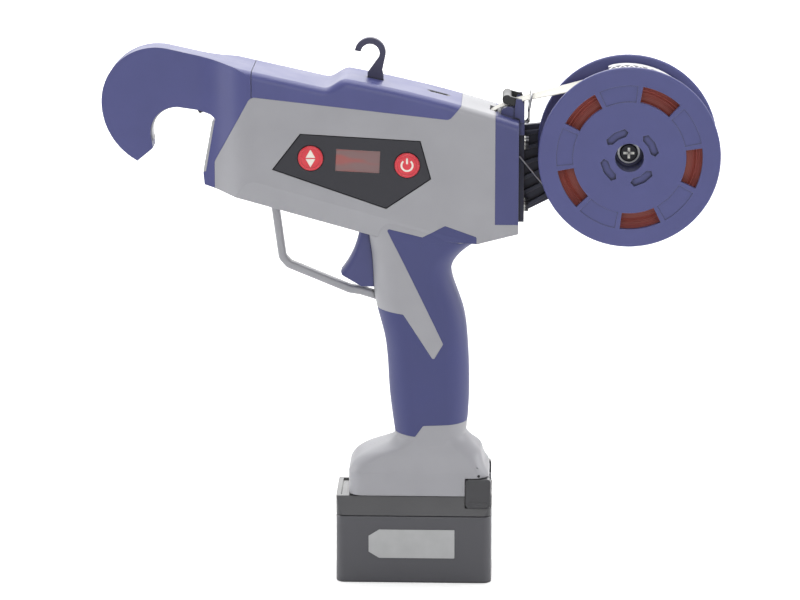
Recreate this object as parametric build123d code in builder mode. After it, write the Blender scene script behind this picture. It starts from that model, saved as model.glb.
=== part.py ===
"""Electric vine tying tool, in millimetres.

The tool stands on its battery pack. X runs from the hook nose (negative) to the tape spool
(positive), Y from the display side (negative) to the screw side, Z up from the pack's base.
"""
import os
from math import acos, asin, atan2, cos, degrees, hypot, pi, radians, sin, sqrt, tan

from build123d import *

os.makedirs("parts", exist_ok=True)

# Clearances: loose, close and running fits, and room past the end of a travel.
# ROOTED sinks a rib into its wall, and BEYOND is the reach of a cut that goes right through.
PLAY = 0.3
TOUCH = 0.1
RUNNING_FIT = 0.06
STOP_GAP = 1.0
ROOTED = 0.5
BEYOND = 400.0

# Driving dimensions: body shell
BODY_WIDTH = 46.0
NOSE_WIDTH = 16.0
WALL = 3.0
SKIN = 1.5
FLARE_START = -121.0
FLARE_END = -86.0
BODY_REAR = 57.5
CROWN_RADIUS = 4.5
CROWN_MIDDLE = (10.0, 277.2)
TOP_SLOPE = 12.4
TOP_RUN = 88.0
SCOOP_LENGTH = 14.0
SCOOP_RISE = 4.6
FLANK_CUT = (12.0, 3.5)
CAVITY_LIFT = 0.8
EDGE_SEARCH = 10.0

# Driving dimensions: hook head
NOSE_CENTRE = (-142.5, 271.6)
NOSE_RADIUS = 30.5
THROAT_CENTRE = (-131.5, 254.4)
THROAT_RADIUS = 14.6
HOOK_TIP = (-153.5, 238.6)
COLUMN_TOP = (-110.0, 263.0)
COLUMN_TILT = 10.6
COLUMN_HEIGHT = 30.5
TRACK_STAND = 0.8
TRACK_THICKNESS = 2.3
TRACK_WIDTH = 9.0
TRACK_START = 90.0
TRACK_SWEEP = 111.0
TRACK_TRIM = 1.5
TOOTH_HALF = 5.2
PLATE_THICKNESS = 1.5
PLATE_WIDTH = 16.4
PLATE_DROP = 2.0
CAVITY_FRONT = -106.0
HEAD_SEAM = -89.0
SEAM = 0.3
SEAM_CORNER = 4.0
CAP_FRONT = 44.6
CAP_BASE = 207.0

# Driving dimensions: hanging hook, cover slot and tape inlet
HANGER_CENTRE = (-24.8, 298.6)
HANGER_INNER = 5.2
HANGER_OUTER = 8.6
HANGER_HALF = 2.2
HANGER_START = -40.0
HANGER_END = 170.0
HANGER_SHOULDER = -8.0
HANGER_WAIST = (-18.1, 288.9)
HANGER_HEEL = (-17.5, 286.2)
HANGER_TOE = (-26.2, 287.8)
HANGER_FOOT = 282.4
SLOT_CENTRE = (13.0, 276.3)
SLOT_LENGTH = 13.0
SLOT_WIDTH = 5.0
SLOT_DEPTH = 2.2
SLOT_SLOPE = 14.0
LINER_WALL = 1.2
LINER_FLOOR = 0.8
LUG_REAR = 60.5
LUG_HALF = 11.0
EAR_THICKNESS = 1.0
PRESSER_PIVOT = (57.3, 273.0)
PRESSER_BAR = (50.8, 274.7)
PRESSER_RADIUS = 2.6
PRESSER_HALF = 9.0
PRESSER_HUB = 2.2
LINK_THICKNESS = 1.7
STUB_RADIUS = 1.2
LOOP_FRONT = 62.0
LOOP_CENTRE = 273.0
LOOP_WIDTH = 24.0
LOOP_HEIGHT = 11.0
LOOP_CORNER = 3.0
LOOP_WIRE = 1.4
LOOP_STEM_HALF = 2.0
LOOP_ROOT = 259.0
LOOP_ROOT_HEIGHT = 3.0

# Driving dimensions: handle, guard and foot
HANDLE_CORNER = 13.0
HANDLE_WALL = 2.4
GRIP_CORNER = 1.0
GUARD_DEPTH = 7.0
GUARD_THICKNESS = 4.4
GUARD_EDGE = 1.6
GUARD_BEND = 4.0
FOOT_HALF = 22.0
FOOT_FLOOR = 62.0
VENT_RADIUS = 0.8
VENT_DEPTH = 2.0
SCREW_RADIUS = 1.5
BOSS_WALL = 2.7
HEAD_LIP = 1.4
HEAD_HEIGHT = 2.4
TIP_SHARE = 0.625
CROSS_LENGTH = 0.6
CROSS_WIDTH = 0.13
CROSS_DEPTH = 0.5

# Driving dimensions: controls
PANEL_OUTLINE = ((-78.0, 237.1), (-62.4, 257.3), (3.7, 253.7), (9.6, 232.4), (-15.2, 215.5))
PANEL_RECESS = 1.4
BEZEL_THICKNESS = 1.2
BEZEL_EDGE = 0.6
BUTTON_RADIUS = 6.9
BUTTON_TRAVEL = 0.8
BUTTON_STAND = 0.6
BUTTON_FLANGE = 0.8
BUTTON_LIP = 1.3
BUTTON_EDGE = 0.5
MODE_BUTTON = (-56.7, 243.7)
POWER_BUTTON = (-3.7, 240.1)
WINDOW_CENTRE = (-30.8, 242.1)
WINDOW_SIZE = (24.2, 12.2)
WINDOW_TILT = -2.8
WINDOW_THICKNESS = 0.8
WINDOW_RIM = 1.2
MODULE_RIM = 0.6
BOARD_FACE = -15.8
BOARD_THICKNESS = 1.6
BOARD_FRONT = -70.0
BOARD_REAR = 4.0
BOARD_BASE = 222.0
BOARD_TOP = 256.0
BOARD_POST_RADIUS = 2.5
TACT_HALF = 3.0
TACT_RADIUS = 1.7
TACT_STEM = 0.8
TRIGGER_WIDTH = 15.0
TRIGGER_TRAVEL = 5.5
TRIGGER_BASE = 168.0
TRIGGER_TOP = 199.2
TRIGGER_CROWN = (-31.0, TRIGGER_TOP)
TRIGGER_HOLLOW = (-33.9, 188.5)
TRIGGER_TIP = (-41.2, 176.0)
TRIGGER_CHIN = (-40.4, 174.4)
TRIGGER_HEEL = (-29.5, TRIGGER_BASE)
TRIGGER_REAR = -14.0
TRIGGER_EDGE = 3.0
SWITCH_HALF = 8.0
SWITCH_RISE = 12.0
SWITCH_FRONT = -6.0
SWITCH_REAR = 14.0
SWITCH_POST = 15.5
POST_INSET = 6.0
POST_RISE = 8.0
PLUNGER_RADIUS = 2.5
PLUNGER_HEIGHT = 184.0
PLUNGER_END = -1.5

# Driving dimensions: tape path and mechanism
TAPE_WIDTH = 10.0
TAPE_THICKNESS = 0.5
TAPE_INLET = (51.0, 271.6)
TAPE_BEND = 6.0
TAPE_STOP = 4.0
INLET_HALF = 6.0
GUIDE_HALF = 9.0
PASSAGE_WIDTH = 14.0
PASSAGE_HEIGHT = 2.9
CHANNEL_NOSE = (-116.0, 269.2)
CHANNEL_REAR = (34.0, 263.0)
CHANNEL_WIDTH = 14.0
CHANNEL_HEIGHT = 4.4
CHANNEL_BORE = 1.6
CHANNEL_BORE_WIDTH = 10.8
ROLLER_PORT = 7.5
CUTTER_X = -107.4
CUTTER_TRAVEL = 4.5
CUTTER_THICKNESS = 0.8
CUTTER_HALF = 8.8
CUTTER_BASE = 256.0
CUTTER_TOP = 281.5
CUTTER_BAR = 4.0
TAB_HALF = 4.0
TAB_THICKNESS = 1.5
TAB_REAR = -100.0
TONGUE_HALF = 6.0
CUTTER_ROD_RADIUS = 1.5
CUTTER_ROD_INSET = 2.5
SOLENOID_FRONT = -105.0
SOLENOID_REAR = -97.0
SOLENOID_HALF = 7.5
SOLENOID_GAP = 1.5
FEED_X = -20.0
FEED_RADIUS = 8.0
IDLER_RADIUS = 6.0
ROLLER_HALF = 4.8
FEED_SHAFT_RADIUS = 2.5
IDLER_SHAFT_RADIUS = 2.0
SHAFT_END = 1.0
CHEEK_INNER = 9.5
CHEEK_THICKNESS = 2.0
GEAR_MODULE = 0.8
GEAR_TEETH = 40
PINION_TEETH = 16
PRESSURE_ANGLE = 20.0
ADDENDUM = 0.9
DEDENDUM = 1.25
PINION_BEARING = -36.0
PINION_SHAFT_RADIUS = 1.5
PINION_SHAFT_HOLE = 3.5
PINION_INSERT = 11.0
BACKLASH = 0.15
GEAR_FACE = 14.5
GEAR_WIDTH = 3.0
FEED_MOTOR_RADIUS = 11.0
FEED_MOTOR_REACH = 13.5
MOTOR_RADIUS = 13.5
MOTOR_LENGTH = 42.0
MOTOR_TAIL_RADIUS = 4.0
MOTOR_TAIL = 3.0
CAN_WALL = 1.2
CAN_END = 2.5
CAN_VENT = 5.0
CORE_SHARE = 0.45
GROOVE_DEPTH = 0.6
GROOVE_WIDTH = 1.0
SADDLE_THICKNESS = 3.0
FRONT_SADDLE = (-74.0, 244.5)
REAR_SADDLE = (-36.0, 237.5)
GEARBOX_START = 30.0
GEARBOX_LENGTH = 24.0
TWISTER_RADIUS = 5.5
TWISTER_GAP = 0.5
TWISTER_FACE = -1.0
TWIST_SHAFT_RADIUS = 3.0
TWIST_SHAFT_INSERT = 5.0
BUSH_WALL = 1.94
BUSH_START = 3.0
BUSH_END = 10.0
COLLAR_LIP = 1.3
COLLAR_LENGTH = 2.0
COLLAR_SPACE = 8.0
CLAW_GAP = 2.4
CLAW_DEPTH = 6.0

# Driving dimensions: spool and arm
AXLE = (118.0, 245.0)
AXLE_RADIUS = 4.5
AXLE_HEAD_RADIUS = 7.5
AXLE_HEAD = 2.5
FLANGE_RADIUS = 50.0
FLANGE_THICKNESS = 3.0
FLANGE_EDGE = 1.0
ROLL_WINDOWS = 5
ROLL_WINDOW_START = 80.0
ROLL_WINDOW_SWEEP = 33.0
ROLL_WINDOW_INNER = 31.0
ROLL_WINDOW_OUTER = 40.0
PAD_GAP = 4.0
PAD_SWEEP = 31.0
PAD_DEPTH = 0.3
POCKETS = 4
POCKET_BEARING = 31.0
POCKET_HALF = 21.0
POCKET_POINT = 28.0
POCKET_INNER = 11.8
POCKET_OUTER = 16.2
POCKET_DEPTH = 1.8
HUB_RECESS = 17.0
HUB_RECESS_RADIUS = 7.9
HUB_BOSS_RADIUS = 10.0
SPIGOT_RADIUS = 18.4
SPIGOT_WALL = 1.9
SPIGOT_LENGTH = 18.5
SPOOL_WIDTH = 45.0
HUB_RADIUS = 20.5
ROLL_RADIUS = 41.0
ROLL_WIDTH = 32.0
LAP_START = 103.0
LAP_SWEEP = 163.0
LAP_BEARING = 120.0
LAP_SHIFT = 2.0
LAP_SETBACK = 0.2
WIRE_LIE = 48.8
WIRE_RADIUS = 0.5
WIRE_ROOT = 241.0
WIRE_HUG = 12.0
ARM_GAP = 3.5
ARM_THICKNESS = 4.0
ARM_BASE = 203.0
ARM_TOP = 253.5
ARM_END_RADIUS = 15.0
ARM_BOSS_RADIUS = 8.0
ARM_SCREW_DEPTH = 7.0
RIB_HEIGHT = 2.8
RIB_WIDTH = 2.2
RIB_MARGIN = 4.0
RIB_FAN = 90.0
ARM_RIBS = 6
ROOT_THICKNESS = 3.0
ROOT_INNER = 4.0
END_SCREW_RADIUS = 2.0
END_SCREW_LENGTH = 12.0
END_SCREW_HEAD = 2.2
END_SCREW_HEAD_RADIUS = 5.0
END_SCREW_EDGE = 0.8
WASHER_RADIUS = 6.1
WASHER_THICKNESS = 1.0

# Driving dimensions: battery pack
PACK_LENGTH = 87.4
PACK_WIDTH = 44.0
PACK_SPLIT = 39.0
PACK_TOP = 50.0
PACK_WALL = 2.0
PACK_CORNER = 5.0
PACK_EDGE = 0.6
PACK_SHOULDER = 0.8
LID_SLOPE = 3.0
LID_RECESS = (-41.0, -37.7)
LID_RECESS_HALF = 16.0
LID_RECESS_DEPTH = 0.8
LABEL_SINK = 0.6
LABEL_THICKNESS = 0.8
LABEL_CORNER = 0.6
RAIL_RISE = 5.0
RAIL_THICKNESS = 4.0
RAIL_NECK = 12.0
RAIL_FLANGE = 16.0
RAIL_PLAY = 0.4
RAIL_FRONT = -29.6
RAIL_REAR = 28.0
CELL_RADIUS = 9.2
CELL_LENGTH = 65.0
CELL_GAP = 1.0
CELL_FLOOR = 0.9
CELL_TIP_RADIUS = 3.0
CELL_TIP = 1.0
HOLDER_X = 25.0
HOLDER_HALF = 1.5
LATCH_THICKNESS = 5.0
LATCH_TRAVEL = 2.5
LATCH_STAND = 0.6
LATCH_FRONT = 29.0
LATCH_REAR = 43.2
LATCH_BASE = 44.0
LATCH_TOP = 61.0
LATCH_CORNER = 2.0
LATCH_EDGE = 0.6
LATCH_SHELF = 2.0
RIDGE_BASE = 45.6
RIDGE_HEIGHT = 1.8
RIDGE_STAND = 0.5
CONTACT_Y = 6.0
CONTACT_PORT = (-2.0, 18.0)
CONTACT_PORT_HALF = 9.0
CONTACT_SLOT_END = 14.0
CONTACT_SLOT_HALF = 1.6
TERMINAL_SPAN = (1.0, 11.0)
TERMINAL_HALF = 1.5
TERMINAL_WALL = 0.8
BLADE_SPAN = (1.0, 10.0)
BLADE_HALF = 0.4
BLADE_GAP = 1.4
BLADE_INSERT = 4.0
BLOCK_SPAN = (-5.0, 21.0)
BLOCK_HALF = 11.0
BLOCK_HEIGHT = 8.0

half_body = BODY_WIDTH / 2
half_nose = NOSE_WIDTH / 2
half_cavity = half_body - WALL
half_pack = PACK_WIDTH / 2
half_spool = SPOOL_WIDTH / 2
cheek_outer = CHEEK_INNER + CHEEK_THICKNESS
bush_radius = TWISTER_RADIUS + RUNNING_FIT + BUSH_WALL


def side(y=0.0):
    """Plane that faces the display side at depth y: its x is X and its y is Z."""
    return Plane.XZ.offset(-y)


def along(start, angle, distance):
    """Point at a distance from start, at an angle in degrees above +X in the side view."""
    return (start[0] + distance * cos(radians(angle)), start[1] + distance * sin(radians(angle)))


def prism(points, y_low, y_high, mode=Mode.ADD):
    """Straight block with a side-view outline, between two depths."""
    with BuildSketch(side(y_high)) as profile:
        with BuildLine():
            Polyline(*points, close=True)
        make_face()
    extrude(profile.sketch, amount=y_high - y_low, mode=mode)


def soft_prism(points, radius, y_low, y_high, mode=Mode.ADD):
    """Block with a side-view outline whose corners are all rounded, between two depths."""
    with BuildSketch(side(y_high)) as profile:
        with BuildLine():
            FilletPolyline(*points, radius=radius, close=True)
        make_face()
    extrude(profile.sketch, amount=y_high - y_low, mode=mode)


def rod(centre, radius, y_low, y_high, mode=Mode.ADD):
    """Round bar across the tool at a side-view centre, between two depths."""
    with BuildSketch(side(y_high)) as profile:
        with Locations(centre):
            Circle(radius)
    extrude(profile.sketch, amount=y_high - y_low, mode=mode)


def rod_x(y, z, radius, x_low, x_high, mode=Mode.ADD):
    """Round bar along the tool, between two lengths."""
    with BuildSketch(Plane.YZ.offset(x_low)) as profile:
        with Locations((y, z)):
            Circle(radius)
    extrude(profile.sketch, amount=x_high - x_low, mode=mode)


def rod_z(x, radius, z_low, z_high, mode=Mode.ADD):
    """Upright round bar on the middle plane, between two heights."""
    with BuildSketch(Plane.XY.offset(z_low)) as profile:
        with Locations((x, 0)):
            Circle(radius)
    extrude(profile.sketch, amount=z_high - z_low, mode=mode)


def block(x_low, x_high, y_low, y_high, z_low, z_high, mode=Mode.ADD):
    """Rectangular block between six planes."""
    with Locations(((x_low + x_high) / 2, (y_low + y_high) / 2, (z_low + z_high) / 2)):
        Box(x_high - x_low, y_high - y_low, z_high - z_low, mode=mode)


def ring_sector(centre, r_in, r_out, start, sweep, y_low, y_high, mode=Mode.ADD):
    """Part of a flat ring about a side-view centre, from a start angle over a sweep."""
    with BuildSketch(side(y_high)) as profile:
        with BuildLine():
            CenterArc(centre, r_out, start, sweep)
            CenterArc(centre, r_in, start, sweep)
            Line(along(centre, start, r_in), along(centre, start, r_out))
            Line(along(centre, start + sweep, r_in), along(centre, start + sweep, r_out))
        make_face()
    extrude(profile.sketch, amount=y_high - y_low, mode=mode)


def rounded_section(height, front, rear, half_depth, corner, inset):
    """Rounded rectangle across the tool at a height, drawn in by an inset."""
    with BuildSketch(Plane.XY.offset(height)) as section:
        with Locations(((front + rear) / 2, 0)):
            RectangleRounded(rear - front - 2 * inset, 2 * (half_depth - inset), corner - inset)
    return section.sketch


def cross_slot(centre, head_radius, y_low, y_high):
    """Crossed driver slot cut into a screw head, between two depths."""
    x, z = centre
    length = CROSS_LENGTH * head_radius
    width = CROSS_WIDTH * head_radius
    for half_x, half_z in ((length, width), (width, length)):
        block(x - half_x, x + half_x, y_low, y_high, z - half_z, z + half_z, Mode.SUBTRACT)


def save(piece, name):
    """Label a finished piece and write it under its node's name."""
    piece.label = name
    export_step(piece, f"parts/{name}.step")


# Side outline of head and body together
column_foot = along(COLUMN_TOP, -90 - COLUMN_TILT, COLUMN_HEIGHT)
nose_top = along(NOSE_CENTRE, 90 - TOP_SLOPE, NOSE_RADIUS)
nose_front = along(NOSE_CENTRE, 180, NOSE_RADIUS)
scoop_start = along(nose_top, -TOP_SLOPE, TOP_RUN)
crown_start = (scoop_start[0] + SCOOP_LENGTH, scoop_start[1] + SCOOP_RISE)
rear_top = (BODY_REAR, 263.4)
rear_foot = (BODY_REAR, 201.8)
belly_rear = (35.0, 196.0)
belly_front = (-22.0, 199.5)
chin = (-111.2, 224.2)
chin_front = (column_foot[0] - 0.8, chin[1] + 1.4)
lip = (column_foot[0] - PLATE_THICKNESS, column_foot[1] - 0.4)
throat_corner = (COLUMN_TOP[0] - 2.8, COLUMN_TOP[1] + 2.2)
throat_ceiling = (COLUMN_TOP[0] - 10.0, COLUMN_TOP[1] + 4.4)
throat_top = along(THROAT_CENTRE, 90, THROAT_RADIUS)
throat_end = along(THROAT_CENTRE, 197, THROAT_RADIUS)
tip_inner = (throat_end[0] + 0.5, throat_end[1] - 4.4)
top_fall = along((0, 0), -TOP_SLOPE, 1)
belly_middle = (chin[0] + belly_front[0]) / 2


def side_outline():
    """Face bounded by the side view of hook, top, rear and belly."""
    with BuildSketch(side()) as outline:
        with BuildLine():
            Line(nose_top, scoop_start)
            Spline(scoop_start, crown_start, tangents=[top_fall, top_fall])
            ThreePointArc(crown_start, CROWN_MIDDLE, rear_top)
            Polyline(rear_top, rear_foot, belly_rear, belly_front, chin, chin_front, lip)
            Polyline(lip, column_foot, COLUMN_TOP, throat_corner, throat_ceiling, throat_top)
            ThreePointArc(throat_top, along(THROAT_CENTRE, 140, THROAT_RADIUS), throat_end)
            Polyline(throat_end, tip_inner, HOOK_TIP)
            TangentArc(nose_front, HOOK_TIP, tangent=(0, -1))
            ThreePointArc(nose_front, along(NOSE_CENTRE, 130, NOSE_RADIUS), nose_top)
        make_face()
    return outline.sketch


def cavity_outline():
    """Face inside the body's side view, one wall in from top, rear and belly."""
    roof = WALL / cos(radians(TOP_SLOPE))
    front_roof = nose_top[1] - (CAVITY_FRONT - nose_top[0]) * tan(radians(TOP_SLOPE)) - roof
    belly_rise = (chin[1] - belly_front[1]) / (chin[0] - belly_front[0])
    front_floor = belly_front[1] + (CAVITY_FRONT - belly_front[0]) * belly_rise + roof
    inner_crown = (crown_start[0], crown_start[1] - roof)
    inner_rear = (rear_top[0] - WALL, rear_top[1] - roof + CAVITY_LIFT)
    with BuildSketch(side()) as outline:
        with BuildLine():
            Polyline(
                inner_crown,
                (scoop_start[0], scoop_start[1] - roof),
                (CAVITY_FRONT, front_roof),
                (CAVITY_FRONT, front_floor),
                (belly_front[0], belly_front[1] + roof),
                (belly_rear[0], belly_rear[1] + roof),
                (rear_foot[0] - WALL, rear_foot[1] + roof),
                inner_rear,
            )
            ThreePointArc(inner_crown, (CROWN_MIDDLE[0], CROWN_MIDDLE[1] - roof), inner_rear)
        make_face()
    return outline.sketch


def plan_outline(inset):
    """Face seen from above: narrow nose, swept out to the body's full width."""
    reach = (FLARE_END - FLARE_START) / 2
    narrow = half_nose - inset
    wide = half_body - inset
    with BuildSketch() as plan:
        with BuildLine():
            Polyline((BEYOND, wide), (BEYOND, 0), (-BEYOND, 0), (-BEYOND, narrow), (FLARE_START, narrow))
            Bezier(
                (FLARE_START, narrow),
                (FLARE_START + reach, narrow),
                (FLARE_END - reach, wide),
                (FLARE_END, wide),
            )
            Line((FLARE_END, wide), (BEYOND, wide))
        make_face()
        mirror(about=Plane.XZ)
    return plan.sketch


def belly_edges(edges):
    """The two long edges where the belly meets the flanks."""
    lines = edges.filter_by(GeomType.LINE)
    near = lines.filter_by_position(Axis.X, belly_middle - EDGE_SEARCH, belly_middle + EDGE_SEARCH)
    return near.group_by(Axis.Z)[0]


# Solid form of head and body, with rounded crown and sloped lower flanks
with BuildPart() as envelope:
    extrude(side_outline(), amount=half_body, both=True)
    round_edges = envelope.edges().filter_by(GeomType.CIRCLE)
    fillet(round_edges.filter_by_position(Axis.X, scoop_start[0], BODY_REAR), CROWN_RADIUS)
    chamfer(belly_edges(envelope.edges()), *FLANK_CUT)
    extrude(plan_outline(0), amount=BEYOND, mode=Mode.INTERSECT)

# Space inside the body
with BuildPart() as cavity:
    extrude(cavity_outline(), amount=half_cavity, both=True)
    chamfer(belly_edges(cavity.edges()), *FLANK_CUT)
    extrude(plan_outline(WALL), amount=BEYOND, mode=Mode.INTERSECT)

# Handle stations: height, front, rear and half depth
HANDLE_STATIONS = (
    (214.0, -25.2, 45.0, 21.6),
    (204.0, -25.0, 42.0, 22.5),
    (190.0, -24.0, 27.5, 20.5),
    (180.0, -23.2, 20.6, 19.0),
    (168.0, -22.8, 22.4, 18.0),
    (155.0, -20.6, 27.0, 17.2),
    (140.0, -16.8, 29.4, 17.0),
    (112.0, -14.3, 30.6, 17.0),
    (84.0, -11.0, 29.0, 16.6),
    (68.0, -10.0, 29.0, 16.4),
)


def handle_form(inset):
    """Handle as a smooth loft of rounded sections, drawn in by an inset."""
    loft([rounded_section(*station, HANDLE_CORNER, inset) for station in HANDLE_STATIONS])


with BuildPart() as handle:
    handle_form(0)
with BuildPart() as handle_core:
    handle_form(SKIN)
with BuildPart() as handle_space:
    handle_form(SKIN + HANDLE_WALL)

# Foot stations: height, front, rear, half depth and corner radius
FOOT_STATIONS = (
    (51.0, -36.6, 43.4, FOOT_HALF, 8.0),
    (64.0, -36.6, 41.6, FOOT_HALF, 8.0),
    (70.0, -32.5, 38.6, 20.8, 9.0),
    (76.0, -21.0, 36.0, 18.5, 11.0),
    (80.0, -12.5, 31.5, 17.0, 12.5),
    (84.0, -10.5, 28.8, 16.4, 13.0),
)


def foot_form(inset):
    """Foot with upright walls and soft shoulders, drawn in by an inset."""
    sections = [rounded_section(*station, inset) for station in FOOT_STATIONS]
    loft(sections[:2])
    loft(sections[1:])


with BuildPart() as foot:
    foot_form(0)
with BuildPart() as foot_space:
    foot_form(WALL)
    block(-BEYOND, BEYOND, -BEYOND, BEYOND, 0, FOOT_FLOOR, Mode.SUBTRACT)

# Trigger guard: a bent bar with soft edges
GUARD_LINE = (
    (-78.4, 217.0),
    (-73.9, 183.3),
    (-70.4, 179.3),
    (-36.5, 165.3),
    (-30.0, 164.3),
    (-14.0, 159.3),
)
with BuildPart() as guard:
    with BuildSketch(side()) as guard_bar:
        with BuildLine():
            FilletPolyline(*GUARD_LINE, radius=GUARD_BEND)
        trace(line_width=GUARD_THICKNESS)
    extrude(guard_bar.sketch, amount=GUARD_DEPTH / 2, both=True)
    fillet(guard.faces().filter_by(Axis.Y).edges(), GUARD_EDGE)

# Colour boundary of the grey housing, and the soft grip's outline on it
GREY_OUTLINE = (
    (-110.5, 30.0),
    (-110.5, 239.1),
    (-89.5, 277.4),
    (19.5, 265.3),
    (26.5, 273.5),
    (28.0, 300.0),
    (90.0, 300.0),
    (90.0, 30.0),
)
GRIP_OUTLINE = (
    (-15.3, 204.5),
    (4.8, 199.5),
    (17.2, 206.2),
    (34.6, 200.0),
    (34.6, 187.0),
    (50.0, 185.0),
    (50.0, 92.0),
    (5.1, 90.0),
    (0.6, 83.8),
    (-10.0, 84.8),
    (-30.0, 85.0),
    (-30.0, 158.0),
    (-6.0, 154.4),
    (10.8, 128.2),
    (16.2, 137.5),
)


def grey_region(mode):
    """Everything on the grey side of the colour boundary."""
    soft_prism(GREY_OUTLINE, SEAM_CORNER, -BEYOND, BEYOND, mode)


# Mechanism axis, square to the tilted column
face_centre = along(COLUMN_TOP, -90 - COLUMN_TILT, COLUMN_HEIGHT / 2)
tilt = radians(COLUMN_TILT)
twist_plane = Plane(
    origin=(face_centre[0], 0, face_centre[1]), x_dir=(0, 1, 0), z_dir=(cos(tilt), 0, -sin(tilt))
)


def shaft(radius, start, end, mode=Mode.ADD):
    """Round bar on the twisting axis, measured back from the column's front face."""
    with BuildSketch(twist_plane.offset(start)) as profile:
        Circle(radius)
    extrude(profile.sketch, amount=end - start, mode=mode)


# Tape channel line
channel_run = (CHANNEL_REAR[0] - CHANNEL_NOSE[0], CHANNEL_REAR[1] - CHANNEL_NOSE[1])
channel_length = hypot(*channel_run)
channel_angle = atan2(channel_run[1], channel_run[0])
channel_plane = Plane(
    origin=(CHANNEL_NOSE[0], 0, CHANNEL_NOSE[1]),
    x_dir=(cos(channel_angle), 0, sin(channel_angle)),
    z_dir=(-sin(channel_angle), 0, cos(channel_angle)),
)


def channel_height_at(x):
    """Height of the tape's centre line inside the body."""
    return CHANNEL_NOSE[1] + (x - CHANNEL_NOSE[0]) * tan(channel_angle)


def channel_bar(start, end, width, height, mode=Mode.ADD):
    """Bar along the tape channel, measured back from the channel's front end."""
    with BuildSketch(channel_plane.offset(-height / 2)) as profile:
        with Locations(((start + end) / 2, 0)):
            Rectangle(end - start, width)
    extrude(profile.sketch, amount=height, mode=mode)


def channel_seat(mode=Mode.ADD):
    """Space that the tape channel takes up, with a close fit all round."""
    channel_bar(0, channel_length, CHANNEL_WIDTH + 2 * TOUCH, CHANNEL_HEIGHT + 2 * TOUCH, mode)


# Tape path from the roll to the cutter
half_tape = TAPE_THICKNESS / 2
tape_radius = ROLL_RADIUS + PLAY + half_tape
reach_to_axle = hypot(AXLE[0] - TAPE_INLET[0], AXLE[1] - TAPE_INLET[1])
to_axle = degrees(atan2(AXLE[1] - TAPE_INLET[1], AXLE[0] - TAPE_INLET[0]))
tape_climb = to_axle + degrees(asin(tape_radius / reach_to_axle))
roll_off = along(TAPE_INLET, tape_climb, sqrt(reach_to_axle**2 - tape_radius**2))
tape_end = (CUTTER_X + TAPE_STOP, channel_height_at(CUTTER_X + TAPE_STOP))


def tape_band(width, thickness, mode=Mode.ADD):
    """Flat band that follows the tape's path at a width and thickness."""
    with BuildSketch(side()) as profile:
        with BuildLine():
            FilletPolyline(roll_off, TAPE_INLET, CHANNEL_REAR, tape_end, radius=TAPE_BEND)
        trace(line_width=thickness)
    extrude(profile.sketch, amount=width / 2, both=True, mode=mode)


# Soft grip skin
with BuildPart() as grip_cut:
    soft_prism(GRIP_OUTLINE, GRIP_CORNER, -BEYOND, BEYOND)
    add(handle_core.part, mode=Mode.SUBTRACT)
    block(-BEYOND, BEYOND, SKIN - half_body, half_body - SKIN, belly_rear[1], BEYOND, Mode.SUBTRACT)
with BuildPart() as grip_skin:
    add([envelope.part, handle.part])
    add(grip_cut.part, mode=Mode.INTERSECT)

# Screws: side-view centre, depth of the head's seat and half length of the boss
body_boss = half_cavity + ROOTED
foot_boss = FOOT_HALF - WALL + ROOTED
HOUSING_SCREWS = (
    (-94.0, 228.0, 17.5, 19.2),
    (-94.5, 257.0, 17.5, 19.2),
    (-48.0, 216.0, 18.0, body_boss),
    (28.0, 252.0, 18.5, body_boss),
    (36.0, 208.0, 18.5, body_boss),
    (-10.0, 210.0, 18.5, body_boss),
    (3.5, 150.0, 12.0, 13.6),
    (12.0, 100.0, 12.0, 13.6),
    (-26.0, 66.5, 17.5, foot_boss),
    (33.0, 68.0, 17.5, foot_boss),
)
HEAD_SCREWS = (
    (-157.0, 281.0, 4.5, 4.0),
    (-137.0, 287.0, 4.5, 4.0),
    (-95.0, 284.0, 14.0, 19.0),
)
boss_radius = SCREW_RADIUS + BOSS_WALL
head_radius = SCREW_RADIUS + HEAD_LIP


def screw_holes(places):
    """Shank holes and head counterbores, open towards the screw side."""
    for x, z, seat, _ in places:
        rod((x, z), SCREW_RADIUS + TOUCH, -seat * TIP_SHARE - PLAY, seat)
        rod((x, z), head_radius + PLAY, seat, BEYOND)


def screw_bosses(places):
    """Round columns that the screws draw together."""
    for x, z, _, boss_half in places:
        rod((x, z), boss_radius, -boss_half, boss_half)


def screws(places):
    """Screws with round heads and crossed slots."""
    for x, z, seat, _ in places:
        face = seat + HEAD_HEIGHT
        rod((x, z), SCREW_RADIUS, -seat * TIP_SHARE, seat)
        rod((x, z), head_radius, seat, face)
        cross_slot((x, z), head_radius, face - CROSS_DEPTH * HEAD_HEIGHT, BEYOND)


with BuildPart() as housing_screws:
    screws(HOUSING_SCREWS)
save(housing_screws.part, "housing_screws")
with BuildPart() as head_screws:
    screws(HEAD_SCREWS)
save(head_screws.part, "head_screws")

# Soft grip halves
with BuildPart() as left_grip:
    add(grip_skin.part)
    split(bisect_by=Plane.XZ, keep=Keep.TOP)
save(left_grip.part, "left_grip")
with BuildPart() as grip_holes:
    screw_holes(HOUSING_SCREWS)
with BuildPart() as right_grip:
    add(grip_skin.part)
    split(bisect_by=Plane.XZ, keep=Keep.BOTTOM)
    add(grip_holes.part, mode=Mode.SUBTRACT)
save(right_grip.part, "right_grip")


def panel_prism(y_low, y_high, mode=Mode.ADD):
    """Five-sided block of the control panel."""
    prism(PANEL_OUTLINE, y_low, y_high, mode)


def window_block(grow, y_low, y_high, mode=Mode.ADD):
    """Turned rectangular block of the display window, grown on every side."""
    with BuildSketch(side(y_high)) as profile:
        with Locations(Location(WINDOW_CENTRE, WINDOW_TILT)):
            Rectangle(WINDOW_SIZE[0] + 2 * grow, WINDOW_SIZE[1] + 2 * grow)
    extrude(profile.sketch, amount=y_high - y_low, mode=mode)


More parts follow.
